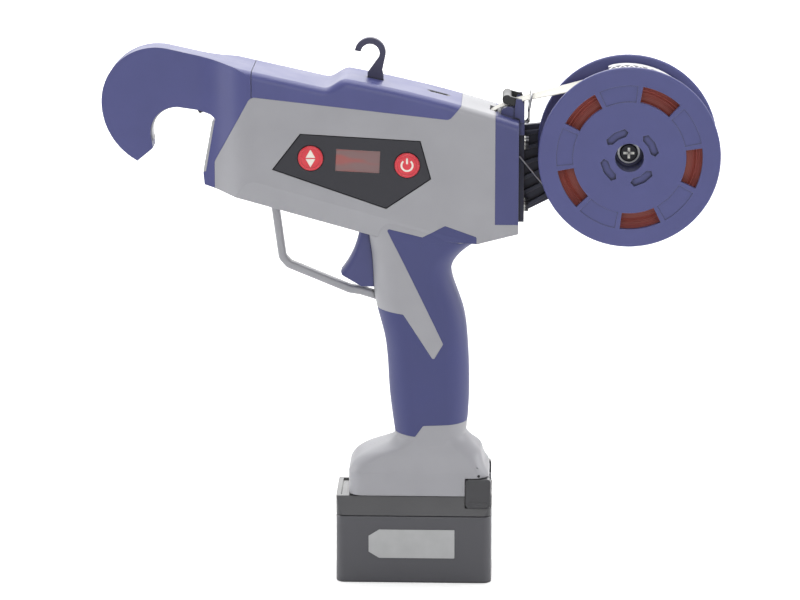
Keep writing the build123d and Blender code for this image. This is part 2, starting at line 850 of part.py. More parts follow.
def twist_bores():
    """Stepped bore for the twisting head and its bush."""
    shaft(TWISTER_RADIUS + TWISTER_GAP, -2 * PLATE_THICKNESS, BUSH_START)
    shaft(bush_radius + TOUCH, BUSH_START, BUSH_END + COLLAR_SPACE)


# Battery slide and latch places, shared by foot and pack
rail_floor = PACK_TOP + RAIL_RISE
rail_top = rail_floor + RAIL_THICKNESS
latch_outer = half_pack + LATCH_STAND
latch_inner = latch_outer - LATCH_THICKNESS
pocket_inner = latch_inner - LATCH_TRAVEL - PLAY


def latch_pockets(z_low, z_high, mode=Mode.ADD):
    """Spaces at both sides that the latches move in, open to side and rear."""
    for y_low, y_high in ((-BEYOND, -pocket_inner), (pocket_inner, BEYOND)):
        block(LATCH_FRONT - PLAY, BEYOND, y_low, y_high, z_low, z_high, mode)


# Ribs that carry the twist motor
motor_start = GEARBOX_START + GEARBOX_LENGTH
motor_end = motor_start + MOTOR_LENGTH
board_back = BOARD_FACE + BOARD_THICKNESS
with BuildPart() as saddles:
    for (front, top), y_low in ((FRONT_SADDLE, -half_cavity), (REAR_SADDLE, board_back + PLAY)):
        block(front, front + SADDLE_THICKNESS, y_low, half_cavity, belly_rear[1], top)
    add(cavity.part, mode=Mode.INTERSECT)
    shaft(MOTOR_RADIUS + TOUCH, -BEYOND, BEYOND, Mode.SUBTRACT)

# Grey housing: handle, guard and foot in one, split down the middle
BOARD_POSTS = ((-64.0, 229.0), (-2.0, 229.0), (-64.0, 252.0), (-2.0, 252.0))
FOOT_VENTS = ((35.9, 67.3), (36.4, 62.6))
with BuildPart() as housing_supports:
    screw_bosses(HOUSING_SCREWS)
    for post in BOARD_POSTS:
        rod(post, BOARD_POST_RADIUS, -body_boss, BOARD_FACE)
    for y_low, y_high in ((-SWITCH_POST, -SWITCH_HALF), (SWITCH_HALF, SWITCH_POST)):
        block(
            SWITCH_FRONT + POST_INSET,
            SWITCH_REAR - POST_INSET,
            y_low,
            y_high,
            PLUNGER_HEIGHT - POST_RISE,
            PLUNGER_HEIGHT + POST_RISE,
        )
with BuildPart() as housing_space:
    add([cavity.part, handle_space.part, foot_space.part])
    add([housing_supports.part, saddles.part], mode=Mode.SUBTRACT)
with BuildPart() as housing_cuts:
    block(CAP_FRONT, BEYOND, -BEYOND, BEYOND, CAP_BASE, BEYOND)
    screw_holes(HOUSING_SCREWS)
    slot_half = RAIL_FLANGE + RAIL_PLAY
    neck_half = RAIL_NECK + RAIL_PLAY
    slot_front = RAIL_FRONT - RAIL_PLAY
    block(slot_front, BEYOND, -slot_half, slot_half, rail_floor - RAIL_PLAY, rail_top + RAIL_PLAY)
    block(slot_front, BEYOND, -neck_half, neck_half, PACK_TOP, rail_floor)
    block(*CONTACT_PORT, -CONTACT_PORT_HALF, CONTACT_PORT_HALF, rail_top, FOOT_FLOOR + STOP_GAP)
    latch_pockets(PACK_TOP, LATCH_TOP + PLAY)
    for vent in FOOT_VENTS:
        rod(vent, VENT_RADIUS, -BEYOND, VENT_DEPTH - FOOT_HALF)
        rod(vent, VENT_RADIUS, FOOT_HALF - VENT_DEPTH, BEYOND)
    panel_prism(-BEYOND, PANEL_RECESS - half_body)
    window_block(-WINDOW_RIM, -BEYOND, STOP_GAP - half_cavity)
    for centre in (MODE_BUTTON, POWER_BUTTON):
        rod(centre, BUTTON_RADIUS + PLAY, -BEYOND, STOP_GAP - half_cavity)
    trigger_stop = TRIGGER_REAR + TRIGGER_TRAVEL + STOP_GAP
    trigger_room = TRIGGER_WIDTH / 2 + PLAY
    for front, base in ((TRIGGER_HEEL[0], TRIGGER_BASE), (TRIGGER_TIP[0], TRIGGER_CHIN[1])):
        block(front - PLAY, trigger_stop, -trigger_room, trigger_room, base - PLAY, TRIGGER_TOP + PLAY)
    twist_bores()
    tape_band(PASSAGE_WIDTH, PASSAGE_HEIGHT)
with BuildPart() as housing:
    add([envelope.part, handle.part, foot.part, guard.part])
    grey_region(Mode.INTERSECT)
    add([housing_space.part, housing_cuts.part], mode=Mode.SUBTRACT)
    add(grip_cut.part, mode=Mode.SUBTRACT)
with BuildPart() as left_housing:
    add(housing.part)
    split(bisect_by=Plane.XZ, keep=Keep.TOP)
save(left_housing.part, "left_housing")
with BuildPart() as right_housing:
    add(housing.part)
    split(bisect_by=Plane.XZ, keep=Keep.BOTTOM)
save(right_housing.part, "right_housing")

# Hook head in two halves
TOOTH = (
    (-120.6, 267.4),
    (-118.9, 264.9),
    (-116.6, 266.0),
    (-113.5, 265.4),
    (-113.5, 266.5),
    (-116.3, 266.6),
)
EXIT_CUT = (
    (-116.0, 270.1),
    (-124.0, 270.1),
    (-127.0, 268.5),
    (-127.0, 266.0),
    (-113.2, 264.5),
    (-113.2, 267.0),
    (-116.0, 267.0),
)
track_half = TRACK_WIDTH / 2
track_inner = THROAT_RADIUS - TRACK_STAND
track_outer = track_inner + TRACK_THICKNESS
blade_half = CUTTER_THICKNESS / 2
slit_half = blade_half + TOUCH
lifted_top = CUTTER_TOP + CUTTER_TRAVEL + PLAY
with BuildPart() as head_bosses:
    screw_bosses(HEAD_SCREWS)
with BuildPart() as head_space:
    add(cavity.part)
    add(head_bosses.part, mode=Mode.SUBTRACT)
with BuildPart() as head_cuts:
    block(HEAD_SEAM - SEAM / 2, BEYOND, -BEYOND, BEYOND, 0, BEYOND)
    screw_holes(HEAD_SCREWS)
    ring_sector(
        THROAT_CENTRE,
        track_inner - TRACK_THICKNESS,
        track_outer + TOUCH,
        TRACK_START,
        TRACK_SWEEP,
        -track_half - TOUCH,
        track_half + TOUCH,
    )
    prism(EXIT_CUT, -TOOTH_HALF - TOUCH, TOOTH_HALF + TOUCH)
    channel_seat()
    block(
        CUTTER_X - slit_half,
        CUTTER_X + slit_half,
        -CUTTER_HALF - PLAY,
        CUTTER_HALF + PLAY,
        CUTTER_BASE - PLAY,
        lifted_top,
    )
    block(
        CUTTER_X,
        CAVITY_FRONT + STOP_GAP,
        -TAB_HALF - PLAY,
        TAB_HALF + PLAY,
        CUTTER_TOP - TAB_THICKNESS - PLAY,
        lifted_top,
    )
    twist_bores()
with BuildPart() as head:
    add(envelope.part)
    grey_region(Mode.SUBTRACT)
    add([head_space.part, head_cuts.part], mode=Mode.SUBTRACT)
with BuildPart() as left_head:
    add(head.part)
    split(bisect_by=Plane.XZ, keep=Keep.TOP)
save(left_head.part, "left_head")
with BuildPart() as right_head:
    add(head.part)
    split(bisect_by=Plane.XZ, keep=Keep.BOTTOM)
save(right_head.part, "right_head")

# Steel track in the hook, face plate and exit tooth
with BuildPart() as hook_track:
    ring_sector(
        THROAT_CENTRE,
        track_inner,
        track_outer,
        TRACK_START + TRACK_TRIM,
        TRACK_SWEEP - 2 * TRACK_TRIM,
        -track_half,
        track_half,
    )
save(hook_track.part, "hook_track")
with BuildPart() as face_plate:
    with BuildSketch(twist_plane.offset(-PLATE_THICKNESS)):
        with Locations((0, -PLATE_DROP / 2)):
            Rectangle(PLATE_WIDTH, COLUMN_HEIGHT - PLATE_DROP - 2 * TOUCH)
        Circle(TWISTER_RADIUS + TWISTER_GAP, mode=Mode.SUBTRACT)
    extrude(amount=PLATE_THICKNESS)
save(face_plate.part, "face_plate")
with BuildPart() as exit_tooth:
    prism(TOOTH, -TOOTH_HALF, TOOTH_HALF)
save(exit_tooth.part, "exit_tooth")

# Hanging hook, let into the top cover
HANGER_STEM = (
    along(HANGER_CENTRE, HANGER_START, HANGER_INNER),
    along(HANGER_CENTRE, HANGER_SHOULDER, HANGER_OUTER),
    HANGER_WAIST,
    HANGER_HEEL,
    (HANGER_HEEL[0], HANGER_FOOT),
    (HANGER_TOE[0], HANGER_FOOT),
    HANGER_TOE,
)
with BuildPart() as hanging_hook:
    ring_sector(
        HANGER_CENTRE,
        HANGER_INNER,
        HANGER_OUTER,
        HANGER_START,
        HANGER_END - HANGER_START,
        -HANGER_HALF,
        HANGER_HALF,
    )
    prism(HANGER_STEM, -HANGER_HALF, HANGER_HALF)
save(hanging_hook.part, "hanging_hook")

# Top cover with the hook's socket and an oblong slot
slot_lean = radians(SLOT_SLOPE)
slot_plane = Plane(
    origin=(SLOT_CENTRE[0], 0, SLOT_CENTRE[1]),
    x_dir=(cos(slot_lean), 0, -sin(slot_lean)),
    z_dir=(sin(slot_lean), 0, cos(slot_lean)),
)


def cover_slot(grow, low, high, mode=Mode.ADD):
    """Oblong block square to the cover's face, between two heights over it."""
    with BuildSketch(slot_plane.offset(low)) as profile:
        SlotOverall(SLOT_LENGTH + 2 * grow, SLOT_WIDTH + 2 * grow)
    extrude(profile.sketch, amount=high - low, mode=mode)


with BuildPart() as cover_cuts:
    block(-BEYOND, HEAD_SEAM + SEAM / 2, -BEYOND, BEYOND, 0, BEYOND)
    block(
        HANGER_TOE[0] - TOUCH,
        HANGER_HEEL[0] + TOUCH,
        -HANGER_HALF - TOUCH,
        HANGER_HALF + TOUCH,
        HANGER_FOOT - TOUCH,
        BEYOND,
    )
    cover_slot(TOUCH, -SLOT_DEPTH - TOUCH, SLOT_DEPTH)
with BuildPart() as top_cover:
    add(envelope.part)
    grey_region(Mode.SUBTRACT)
    add([cavity.part, cover_cuts.part], mode=Mode.SUBTRACT)
save(top_cover.part, "top_cover")
with BuildPart() as slot_liner:
    cover_slot(0, -SLOT_DEPTH, 0)
    cover_slot(-LINER_WALL, LINER_FLOOR - SLOT_DEPTH, SLOT_DEPTH, Mode.SUBTRACT)
save(slot_liner.part, "slot_liner")

# Rear cap with the inlet lug and bosses for the arm's screws
LUG = (
    (46.8, 265.0),
    (47.9, 268.6),
    (49.0, 270.0),
    (51.0, 270.9),
    (52.8, 270.7),
    (58.4, 268.5),
    (59.6, 267.4),
    (LUG_REAR, 265.0),
    (LUG_REAR, 255.0),
    (57.0, 255.0),
    (57.0, 262.0),
)
ARM_SCREWS = ((9.0, 211.0), (19.0, 211.0), (9.0, 246.0), (19.0, 246.0))
boss_end = BODY_REAR - WALL - ARM_SCREW_DEPTH
with BuildPart() as cap_space:
    add(cavity.part)
    for y, z in ARM_SCREWS:
        rod_x(y, z, boss_radius, boss_end, BODY_REAR, Mode.SUBTRACT)
with BuildPart() as cap_cuts:
    tape_band(PASSAGE_WIDTH, PASSAGE_HEIGHT)
    for y, z in ARM_SCREWS:
        rod_x(y, z, SCREW_RADIUS + TOUCH, boss_end + STOP_GAP, BEYOND)
with BuildPart() as rear_cap:
    add(envelope.part)
    block(CAP_FRONT, BEYOND, -BEYOND, BEYOND, CAP_BASE, BEYOND, Mode.INTERSECT)
    prism(LUG, -LUG_HALF, LUG_HALF)
    add([cap_space.part, cap_cuts.part], mode=Mode.SUBTRACT)
save(rear_cap.part, "rear_cap")

# Tape inlet: ears with stub pins, presser arm and guide loop
EAR = (
    (BODY_REAR + PLAY, 262.0),
    (LUG_REAR, 262.0),
    (LUG_REAR, 271.0),
    (58.8, 275.2),
    (55.8, 275.2),
    (55.0, 270.0),
    (55.0, 265.2),
    (BODY_REAR + PLAY, 264.4),
)
ear_outer = LUG_HALF + EAR_THICKNESS
with BuildPart() as inlet_ears:
    for turn in (-1, 1):
        prism(EAR, *sorted((turn * LUG_HALF, turn * ear_outer)))
        rod(PRESSER_PIVOT, STUB_RADIUS, *sorted((turn * (PRESSER_HALF - TOUCH), turn * ear_outer)))
save(inlet_ears.part, "inlet_ears")
with BuildPart() as presser_arm:
    rod(PRESSER_BAR, PRESSER_RADIUS, -PRESSER_HALF, PRESSER_HALF)
    for turn in (-1, 1):
        inner, outer = sorted((turn * PRESSER_HALF, turn * (PRESSER_HALF + LINK_THICKNESS)))
        with BuildSketch(side(outer)) as link:
            with BuildLine():
                Line(PRESSER_BAR, PRESSER_PIVOT)
            trace(line_width=2 * PRESSER_HUB)
            with Locations(PRESSER_BAR):
                Circle(PRESSER_RADIUS)
            with Locations(PRESSER_PIVOT):
                Circle(PRESSER_HUB)
                Circle(STUB_RADIUS + RUNNING_FIT, mode=Mode.SUBTRACT)
        extrude(link.sketch, amount=outer - inner)
save(presser_arm.part, "presser_arm")
with BuildPart() as guide_loop:
    with BuildSketch(Plane.YZ.offset(LOOP_FRONT)):
        with Locations((0, LOOP_CENTRE)):
            RectangleRounded(LOOP_WIDTH, LOOP_HEIGHT, LOOP_CORNER)
            RectangleRounded(
                LOOP_WIDTH - 2 * LOOP_WIRE,
                LOOP_HEIGHT - 2 * LOOP_WIRE,
                LOOP_CORNER - LOOP_WIRE / 2,
                mode=Mode.SUBTRACT,
            )
    extrude(amount=LOOP_WIRE)
    loop_rear = LOOP_FRONT + LOOP_WIRE
    loop_foot = LOOP_CENTRE - LOOP_HEIGHT / 2 + LOOP_WIRE / 2
    block(LOOP_FRONT, loop_rear, -LOOP_STEM_HALF, LOOP_STEM_HALF, LOOP_ROOT, loop_foot)
    root_top = LOOP_ROOT + LOOP_ROOT_HEIGHT
    block(LUG_REAR, loop_rear, -LOOP_STEM_HALF, LOOP_STEM_HALF, LOOP_ROOT, root_top)
save(guide_loop.part, "guide_loop")

# Free run of tape, wide off the roll and narrow in the channel
with BuildPart() as tape_run:
    tape_band(2 * ROLL_WIDTH, TAPE_THICKNESS)
    with BuildSketch(Plane.XY):
        with BuildLine():
            Polyline(
                (tape_end[0], TAPE_WIDTH / 2),
                (CHANNEL_REAR[0], TAPE_WIDTH / 2),
                (TAPE_INLET[0], INLET_HALF),
                (LOOP_FRONT, GUIDE_HALF),
                (roll_off[0], ROLL_WIDTH / 2),
                (AXLE[0], ROLL_WIDTH / 2),
                (AXLE[0], 0),
                (tape_end[0], 0),
                close=True,
            )
        make_face()
        mirror(about=Plane.XZ)
    extrude(amount=BEYOND, mode=Mode.INTERSECT)
save(tape_run.part, "tape_run")

# Outermost turn of the tape, still on the roll, and a loose lap that springs off it
turn_start = tape_climb + 90 - LAP_SETBACK
turn_sweep = turn_start - LAP_START + LAP_SWEEP
lap_centre = along(AXLE, LAP_BEARING, LAP_SHIFT)
lap_inner = tape_radius + LAP_SHIFT
half_roll = ROLL_WIDTH / 2
with BuildPart() as roll_wrap:
    ring_sector(
        AXLE,
        tape_radius - half_tape,
        tape_radius + half_tape,
        turn_start,
        -turn_sweep,
        -half_roll,
        half_roll,
    )
    ring_sector(
        lap_centre,
        lap_inner,
        lap_inner + TAPE_THICKNESS,
        LAP_START,
        -LAP_SWEEP,
        -half_roll,
        half_roll,
    )
save(roll_wrap.part, "roll_wrap")

# Thin drag wire that reaches in between the flanges, under the tape roll
wire_root = (BODY_REAR + PLAY, WIRE_ROOT)
wire_span = hypot(AXLE[0] - wire_root[0], AXLE[1] - wire_root[1])
wire_bearing = 180 + degrees(atan2(AXLE[1] - wire_root[1], AXLE[0] - wire_root[0]))
wire_touch = wire_bearing + degrees(acos(WIRE_LIE / wire_span))
with BuildPart() as drag_wire:
    with BuildLine(side()) as wire_path:
        Line(wire_root, along(AXLE, wire_touch, WIRE_LIE))
        CenterArc(AXLE, WIRE_LIE, wire_touch, WIRE_HUG)
    with BuildSketch(Plane(origin=wire_path.line @ 0, z_dir=wire_path.line % 0)):
        Circle(WIRE_RADIUS)
    sweep(path=wire_path.line)
save(drag_wire.part, "drag_wire")

# Spool arm on the far side: plate, fanned ribs, root plate and axle boss
arm_inner = half_spool + ARM_GAP
arm_outer = arm_inner + ARM_THICKNESS
arm_root = BODY_REAR + ROOT_THICKNESS
with BuildPart() as spool_arm:
    prism(
        (
            (BODY_REAR, ARM_BASE),
            (BODY_REAR, ARM_TOP),
            along(AXLE, 95, ARM_END_RADIUS),
            AXLE,
            along(AXLE, 250, ARM_END_RADIUS),
        ),
        arm_inner,
        arm_outer,
    )
    rod(AXLE, ARM_END_RADIUS, arm_inner, arm_outer)
    rod(AXLE, ARM_BOSS_RADIUS, half_spool + PLAY, arm_inner)
    block(BODY_REAR, arm_root, ROOT_INNER, arm_outer, ARM_BASE, ARM_TOP)
    rib_range = ARM_TOP - ARM_BASE - 2 * RIB_MARGIN
    for step in range(ARM_RIBS):
        share = step / (ARM_RIBS - 1)
        start = (arm_root - ROOTED, ARM_BASE + RIB_MARGIN + share * rib_range)
        end = along(AXLE, 180 + RIB_FAN / 2 - RIB_FAN * share, ARM_END_RADIUS - ROOTED)
        with BuildSketch(side(arm_inner)) as rib:
            with BuildLine():
                Line(start, end)
            trace(line_width=RIB_WIDTH)
        extrude(rib.sketch, amount=RIB_HEIGHT)
    rod(AXLE, AXLE_RADIUS + TOUCH, 0, BEYOND, Mode.SUBTRACT)
    for y, z in ARM_SCREWS:
        rod_x(y, z, SCREW_RADIUS + TOUCH, 0, BEYOND, Mode.SUBTRACT)
save(spool_arm.part, "spool_arm")
with BuildPart() as arm_screws:
    for y, z in ARM_SCREWS:
        rod_x(y, z, SCREW_RADIUS, boss_end + 2 * STOP_GAP, arm_root)
        rod_x(y, z, head_radius, arm_root, arm_root + HEAD_HEIGHT)
save(arm_screws.part, "arm_screws")

# Axle with its end screw and washer, deep in the spool's front hub
recess_floor = HUB_RECESS - half_spool
axle_end = recess_floor - PLAY
screw_seat = axle_end - WASHER_THICKNESS
screw_face = screw_seat - END_SCREW_HEAD
thread_end = screw_seat + END_SCREW_LENGTH
with BuildPart() as spool_axle:
    rod(AXLE, AXLE_RADIUS, axle_end, arm_outer)
    rod(AXLE, AXLE_HEAD_RADIUS, arm_outer, arm_outer + AXLE_HEAD)
    rod(AXLE, END_SCREW_RADIUS + TOUCH, -BEYOND, thread_end + STOP_GAP, Mode.SUBTRACT)
save(spool_axle.part, "spool_axle")
with BuildPart() as axle_washer:
    rod(AXLE, WASHER_RADIUS, screw_seat, axle_end)
    rod(AXLE, END_SCREW_RADIUS + TOUCH, -BEYOND, BEYOND, Mode.SUBTRACT)
save(axle_washer.part, "axle_washer")
with BuildPart() as axle_screw:
    rod(AXLE, END_SCREW_RADIUS, screw_seat, thread_end)
    rod(AXLE, END_SCREW_HEAD_RADIUS, screw_face, screw_seat)
    fillet(axle_screw.edges().group_by(Axis.Y)[0], END_SCREW_EDGE)
    cross_slot(AXLE, END_SCREW_HEAD_RADIUS, -BEYOND, screw_face + CROSS_DEPTH * END_SCREW_HEAD)
save(axle_screw.part, "axle_screw")

# Spool: windowed flanges, hub and tape roll
window_step = 360 / ROLL_WINDOWS
window_starts = [ROLL_WINDOW_START - window_step * step for step in range(ROLL_WINDOWS)]
pocket_bearings = [POCKET_BEARING + 360 / POCKETS * step for step in range(POCKETS)]
pocket_middle = (POCKET_INNER + POCKET_OUTER) / 2


def window_ring(start, sweep, y_low, y_high):
    """Cut between the inner and outer radius of the roll windows."""
    ring_sector(AXLE, ROLL_WINDOW_INNER, ROLL_WINDOW_OUTER, start, sweep, y_low, y_high, Mode.SUBTRACT)


def pocket(bearing, y_low, y_high):
    """Short bent pocket with pointed ends, cut about a bearing."""
    corners = (
        (-POCKET_POINT, pocket_middle),
        (-POCKET_HALF, POCKET_OUTER),
        (0, POCKET_OUTER),
        (POCKET_HALF, POCKET_OUTER),
        (POCKET_POINT, pocket_middle),
        (POCKET_HALF, POCKET_INNER),
        (0, POCKET_INNER),
        (-POCKET_HALF, POCKET_INNER),
    )
    points = [along(AXLE, bearing + turn, radius) for turn, radius in corners]
    prism(points, y_low, y_high, Mode.SUBTRACT)


bore_radius = AXLE_RADIUS + RUNNING_FIT
inner_face = half_spool - FLANGE_THICKNESS
spigot_end = SPIGOT_LENGTH - inner_face
with BuildPart() as spool_front:
    rod(AXLE, FLANGE_RADIUS, -half_spool, -inner_face)
    fillet(spool_front.edges().filter_by(GeomType.CIRCLE), FLANGE_EDGE)
    for start in window_starts:
        window_ring(start, -ROLL_WINDOW_SWEEP, -BEYOND, BEYOND)
        pad_start = start - ROLL_WINDOW_SWEEP - PAD_GAP
        window_ring(pad_start, -PAD_SWEEP, -BEYOND, PAD_DEPTH - half_spool)
    for bearing in pocket_bearings:
        pocket(bearing, -BEYOND, POCKET_DEPTH - half_spool)
    rod(AXLE, SPIGOT_RADIUS, -inner_face, spigot_end)
    rod(AXLE, SPIGOT_RADIUS - SPIGOT_WALL, -inner_face, BEYOND, Mode.SUBTRACT)
    rod(AXLE, HUB_BOSS_RADIUS, -inner_face - ROOTED, spigot_end)
    rod(AXLE, bore_radius, -BEYOND, BEYOND, Mode.SUBTRACT)
    rod(AXLE, HUB_RECESS_RADIUS, -BEYOND, recess_floor, Mode.SUBTRACT)
save(spool_front.part, "spool_front")
with BuildPart() as spool_rear:
    rod(AXLE, FLANGE_RADIUS, inner_face, half_spool)
    fillet(spool_rear.edges().filter_by(GeomType.CIRCLE), FLANGE_EDGE)
    for start in window_starts:
        window_ring(start, -ROLL_WINDOW_SWEEP, -BEYOND, BEYOND)
    for bearing in pocket_bearings:
        pocket(bearing, half_spool - POCKET_DEPTH, BEYOND)
    rod(AXLE, HUB_RADIUS, -inner_face, inner_face)
    rod(AXLE, SPIGOT_RADIUS + TOUCH, -BEYOND, inner_face, Mode.SUBTRACT)
    rod(AXLE, HUB_BOSS_RADIUS, -spigot_end, inner_face + ROOTED)
    rod(AXLE, bore_radius, -BEYOND, BEYOND, Mode.SUBTRACT)
save(spool_rear.part, "spool_rear")
with BuildPart() as tape_roll:
    rod(AXLE, ROLL_RADIUS, -ROLL_WIDTH / 2, ROLL_WIDTH / 2)
    rod(AXLE, HUB_RADIUS + TOUCH / 2, -BEYOND, BEYOND, Mode.SUBTRACT)
save(tape_roll.part, "tape_roll")

# Control panel
panel_floor = PANEL_RECESS - half_body
with BuildPart() as display_bezel:
    panel_prism(panel_floor - BEZEL_THICKNESS, panel_floor)
    chamfer(display_bezel.faces().sort_by(Axis.Y)[0].edges(), BEZEL_EDGE)
    window_block(TOUCH, -BEYOND, 0, Mode.SUBTRACT)
    for centre in (MODE_BUTTON, POWER_BUTTON):
        rod(centre, BUTTON_RADIUS + PLAY, -BEYOND, 0, Mode.SUBTRACT)
save(display_bezel.part, "display_bezel")
with BuildPart() as display_window:
    window_block(0, panel_floor - WINDOW_THICKNESS, panel_floor)
save(display_window.part, "display_window")
flange_face = -half_cavity + TOUCH
flange_back = flange_face + BUTTON_FLANGE


def push_button(centre):
    """Round button cap with a flange that holds it behind the wall."""
    rod(centre, BUTTON_RADIUS, -half_body - BUTTON_STAND, flange_face)
    rod(centre, BUTTON_RADIUS + BUTTON_LIP, flange_face, flange_back)


with BuildPart() as mode_button:
    push_button(MODE_BUTTON)
    fillet(mode_button.edges().group_by(Axis.Y)[0], BUTTON_EDGE)
save(mode_button.part, "mode_button")
with BuildPart() as power_button:
    push_button(POWER_BUTTON)
    fillet(power_button.edges().group_by(Axis.Y)[0], BUTTON_EDGE)
save(power_button.part, "power_button")
tact_face = flange_back + BUTTON_TRAVEL + TOUCH
tact_top = tact_face + TACT_STEM
with BuildPart() as control_board:
    block(BOARD_FRONT, BOARD_REAR, BOARD_FACE, board_back, BOARD_BASE, BOARD_TOP)
    for x, z in (MODE_BUTTON, POWER_BUTTON):
        block(x - TACT_HALF, x + TACT_HALF, tact_top, BOARD_FACE, z - TACT_HALF, z + TACT_HALF)
        rod((x, z), TACT_RADIUS, tact_face, tact_top)
save(control_board.part, "control_board")
with BuildPart() as display_module:
    window_block(MODULE_RIM, TOUCH - half_cavity, BOARD_FACE)
save(display_module.part, "display_module")

# Trigger with its plunger, and the switch behind it
with BuildPart() as trigger:
    with BuildSketch(side()) as trigger_side:
        with BuildLine():
            ThreePointArc(TRIGGER_CROWN, TRIGGER_HOLLOW, TRIGGER_TIP)
            Polyline(
                TRIGGER_TIP,
                TRIGGER_CHIN,
                TRIGGER_HEEL,
                (TRIGGER_REAR, TRIGGER_BASE),
                (TRIGGER_REAR, TRIGGER_TOP),
                TRIGGER_CROWN,
            )
        make_face()
    extrude(trigger_side.sketch, amount=TRIGGER_WIDTH / 2, both=True)
    fillet(trigger.edges().filter_by(GeomType.CIRCLE), TRIGGER_EDGE)
    rod_x(0, PLUNGER_HEIGHT, PLUNGER_RADIUS, TRIGGER_REAR, PLUNGER_END)
save(trigger.part, "trigger")
with BuildPart() as trigger_switch:
    block(
        SWITCH_FRONT,
        SWITCH_REAR,
        -SWITCH_HALF,
        SWITCH_HALF,
        PLUNGER_HEIGHT - SWITCH_RISE,
        PLUNGER_HEIGHT + SWITCH_RISE,
    )
    plunger_stop = PLUNGER_END + TRIGGER_TRAVEL + STOP_GAP
    rod_x(0, PLUNGER_HEIGHT, PLUNGER_RADIUS + RUNNING_FIT, -BEYOND, plunger_stop, Mode.SUBTRACT)
save(trigger_switch.part, "trigger_switch")

# Twisting head on its shaft, front bush and geared motor
collar_start = BUSH_END + PLAY
collar_end = BUSH_END + COLLAR_LENGTH
with BuildPart() as twister:
    shaft(TWISTER_RADIUS, TWISTER_FACE, collar_start)
    shaft(TWISTER_RADIUS + COLLAR_LIP, collar_start, collar_end)
    shaft(TWIST_SHAFT_RADIUS, collar_end, GEARBOX_START + TWIST_SHAFT_INSERT)
    with BuildSketch(twist_plane.offset(TWISTER_FACE)) as claw_slot:
        Rectangle(CLAW_GAP, 4 * TWISTER_RADIUS)
    extrude(claw_slot.sketch, amount=CLAW_DEPTH, mode=Mode.SUBTRACT)
save(twister.part, "twister")
with BuildPart() as twister_bush:
    shaft(bush_radius, BUSH_START, BUSH_END)
    shaft(TWISTER_RADIUS + RUNNING_FIT, -BEYOND, BEYOND, Mode.SUBTRACT)
save(twister_bush.part, "twister_bush")


def hollow_can(start, end):
    """Vented round can on the twisting axis, with a solid core between its ends."""
    shaft(MOTOR_RADIUS, start, end)
    shaft(MOTOR_RADIUS - CAN_WALL, start + CAN_END, end - CAN_END, Mode.SUBTRACT)
    with BuildSketch(twist_plane.offset((start + end - CAN_VENT) / 2)) as vent:
        Rectangle(4 * MOTOR_RADIUS, CAN_VENT)
    extrude(vent.sketch, amount=CAN_VENT, mode=Mode.SUBTRACT)
    shaft(MOTOR_RADIUS * CORE_SHARE, start, end)


with BuildPart() as twist_gearmotor:
    hollow_can(GEARBOX_START, motor_start)
    shaft(MOTOR_RADIUS - GROOVE_DEPTH, motor_start, motor_start + GROOVE_WIDTH)
    hollow_can(motor_start + GROOVE_WIDTH, motor_end)
    shaft(MOTOR_TAIL_RADIUS, motor_end, motor_end + MOTOR_TAIL)
    insert_end = GEARBOX_START + TWIST_SHAFT_INSERT + STOP_GAP
    shaft(TWIST_SHAFT_RADIUS + RUNNING_FIT, -BEYOND, insert_end, Mode.SUBTRACT)
save(twist_gearmotor.part, "twist_gearmotor")

# Tape channel with windows for the rollers and a slit for the cutter
with BuildPart() as tape_channel:
    channel_bar(0, channel_length, CHANNEL_WIDTH, CHANNEL_HEIGHT)
    channel_bar(-BEYOND, BEYOND, CHANNEL_BORE_WIDTH, CHANNEL_BORE, Mode.SUBTRACT)
    port_half = TAPE_WIDTH / 2 + PLAY
    block(FEED_X - ROLLER_PORT, FEED_X + ROLLER_PORT, -port_half, port_half, 0, BEYOND, Mode.SUBTRACT)
    tongue_gap = TONGUE_HALF + TOUCH
    block(CUTTER_X - slit_half, CUTTER_X + slit_half, -tongue_gap, tongue_gap, 0, BEYOND, Mode.SUBTRACT)
save(tape_channel.part, "tape_channel")

# Cutter: blade frame round the channel, lifted by a small solenoid through its plunger
tongue_top = channel_height_at(CUTTER_X) - CHANNEL_HEIGHT / 2 - PLAY
crossbar_top = tongue_top - CUTTER_TRAVEL - PLAY
frame_top = CUTTER_TOP - CUTTER_BAR
tab_base = CUTTER_TOP - TAB_THICKNESS
plunger_x = TAB_REAR - CUTTER_ROD_INSET
solenoid_base = channel_height_at(SOLENOID_FRONT) + CHANNEL_HEIGHT / 2 + PLAY
solenoid_top = tab_base - SOLENOID_GAP
with BuildPart() as cutter_blade:
    with BuildSketch(Plane.YZ.offset(CUTTER_X - blade_half)):
        with Locations((0, (CUTTER_BASE + CUTTER_TOP) / 2)):
            Rectangle(2 * CUTTER_HALF, CUTTER_TOP - CUTTER_BASE)
        with Locations((0, (crossbar_top + frame_top) / 2)):
            Rectangle(CHANNEL_WIDTH + 2 * PLAY, frame_top - crossbar_top, mode=Mode.SUBTRACT)
        with Locations((0, (CUTTER_BASE + tongue_top) / 2)):
            Rectangle(2 * TONGUE_HALF, tongue_top - CUTTER_BASE)
    extrude(amount=CUTTER_THICKNESS)
    block(CUTTER_X, TAB_REAR, -TAB_HALF, TAB_HALF, tab_base, CUTTER_TOP)
    rod_z(plunger_x, CUTTER_ROD_RADIUS, solenoid_base + SOLENOID_GAP, tab_base)
save(cutter_blade.part, "cutter_blade")
with BuildPart() as cutter_solenoid:
    block(SOLENOID_FRONT, SOLENOID_REAR, -SOLENOID_HALF, SOLENOID_HALF, solenoid_base, solenoid_top)
    rod_z(plunger_x, CUTTER_ROD_RADIUS + RUNNING_FIT, solenoid_base + STOP_GAP, BEYOND, Mode.SUBTRACT)
save(cutter_solenoid.part, "cutter_solenoid")

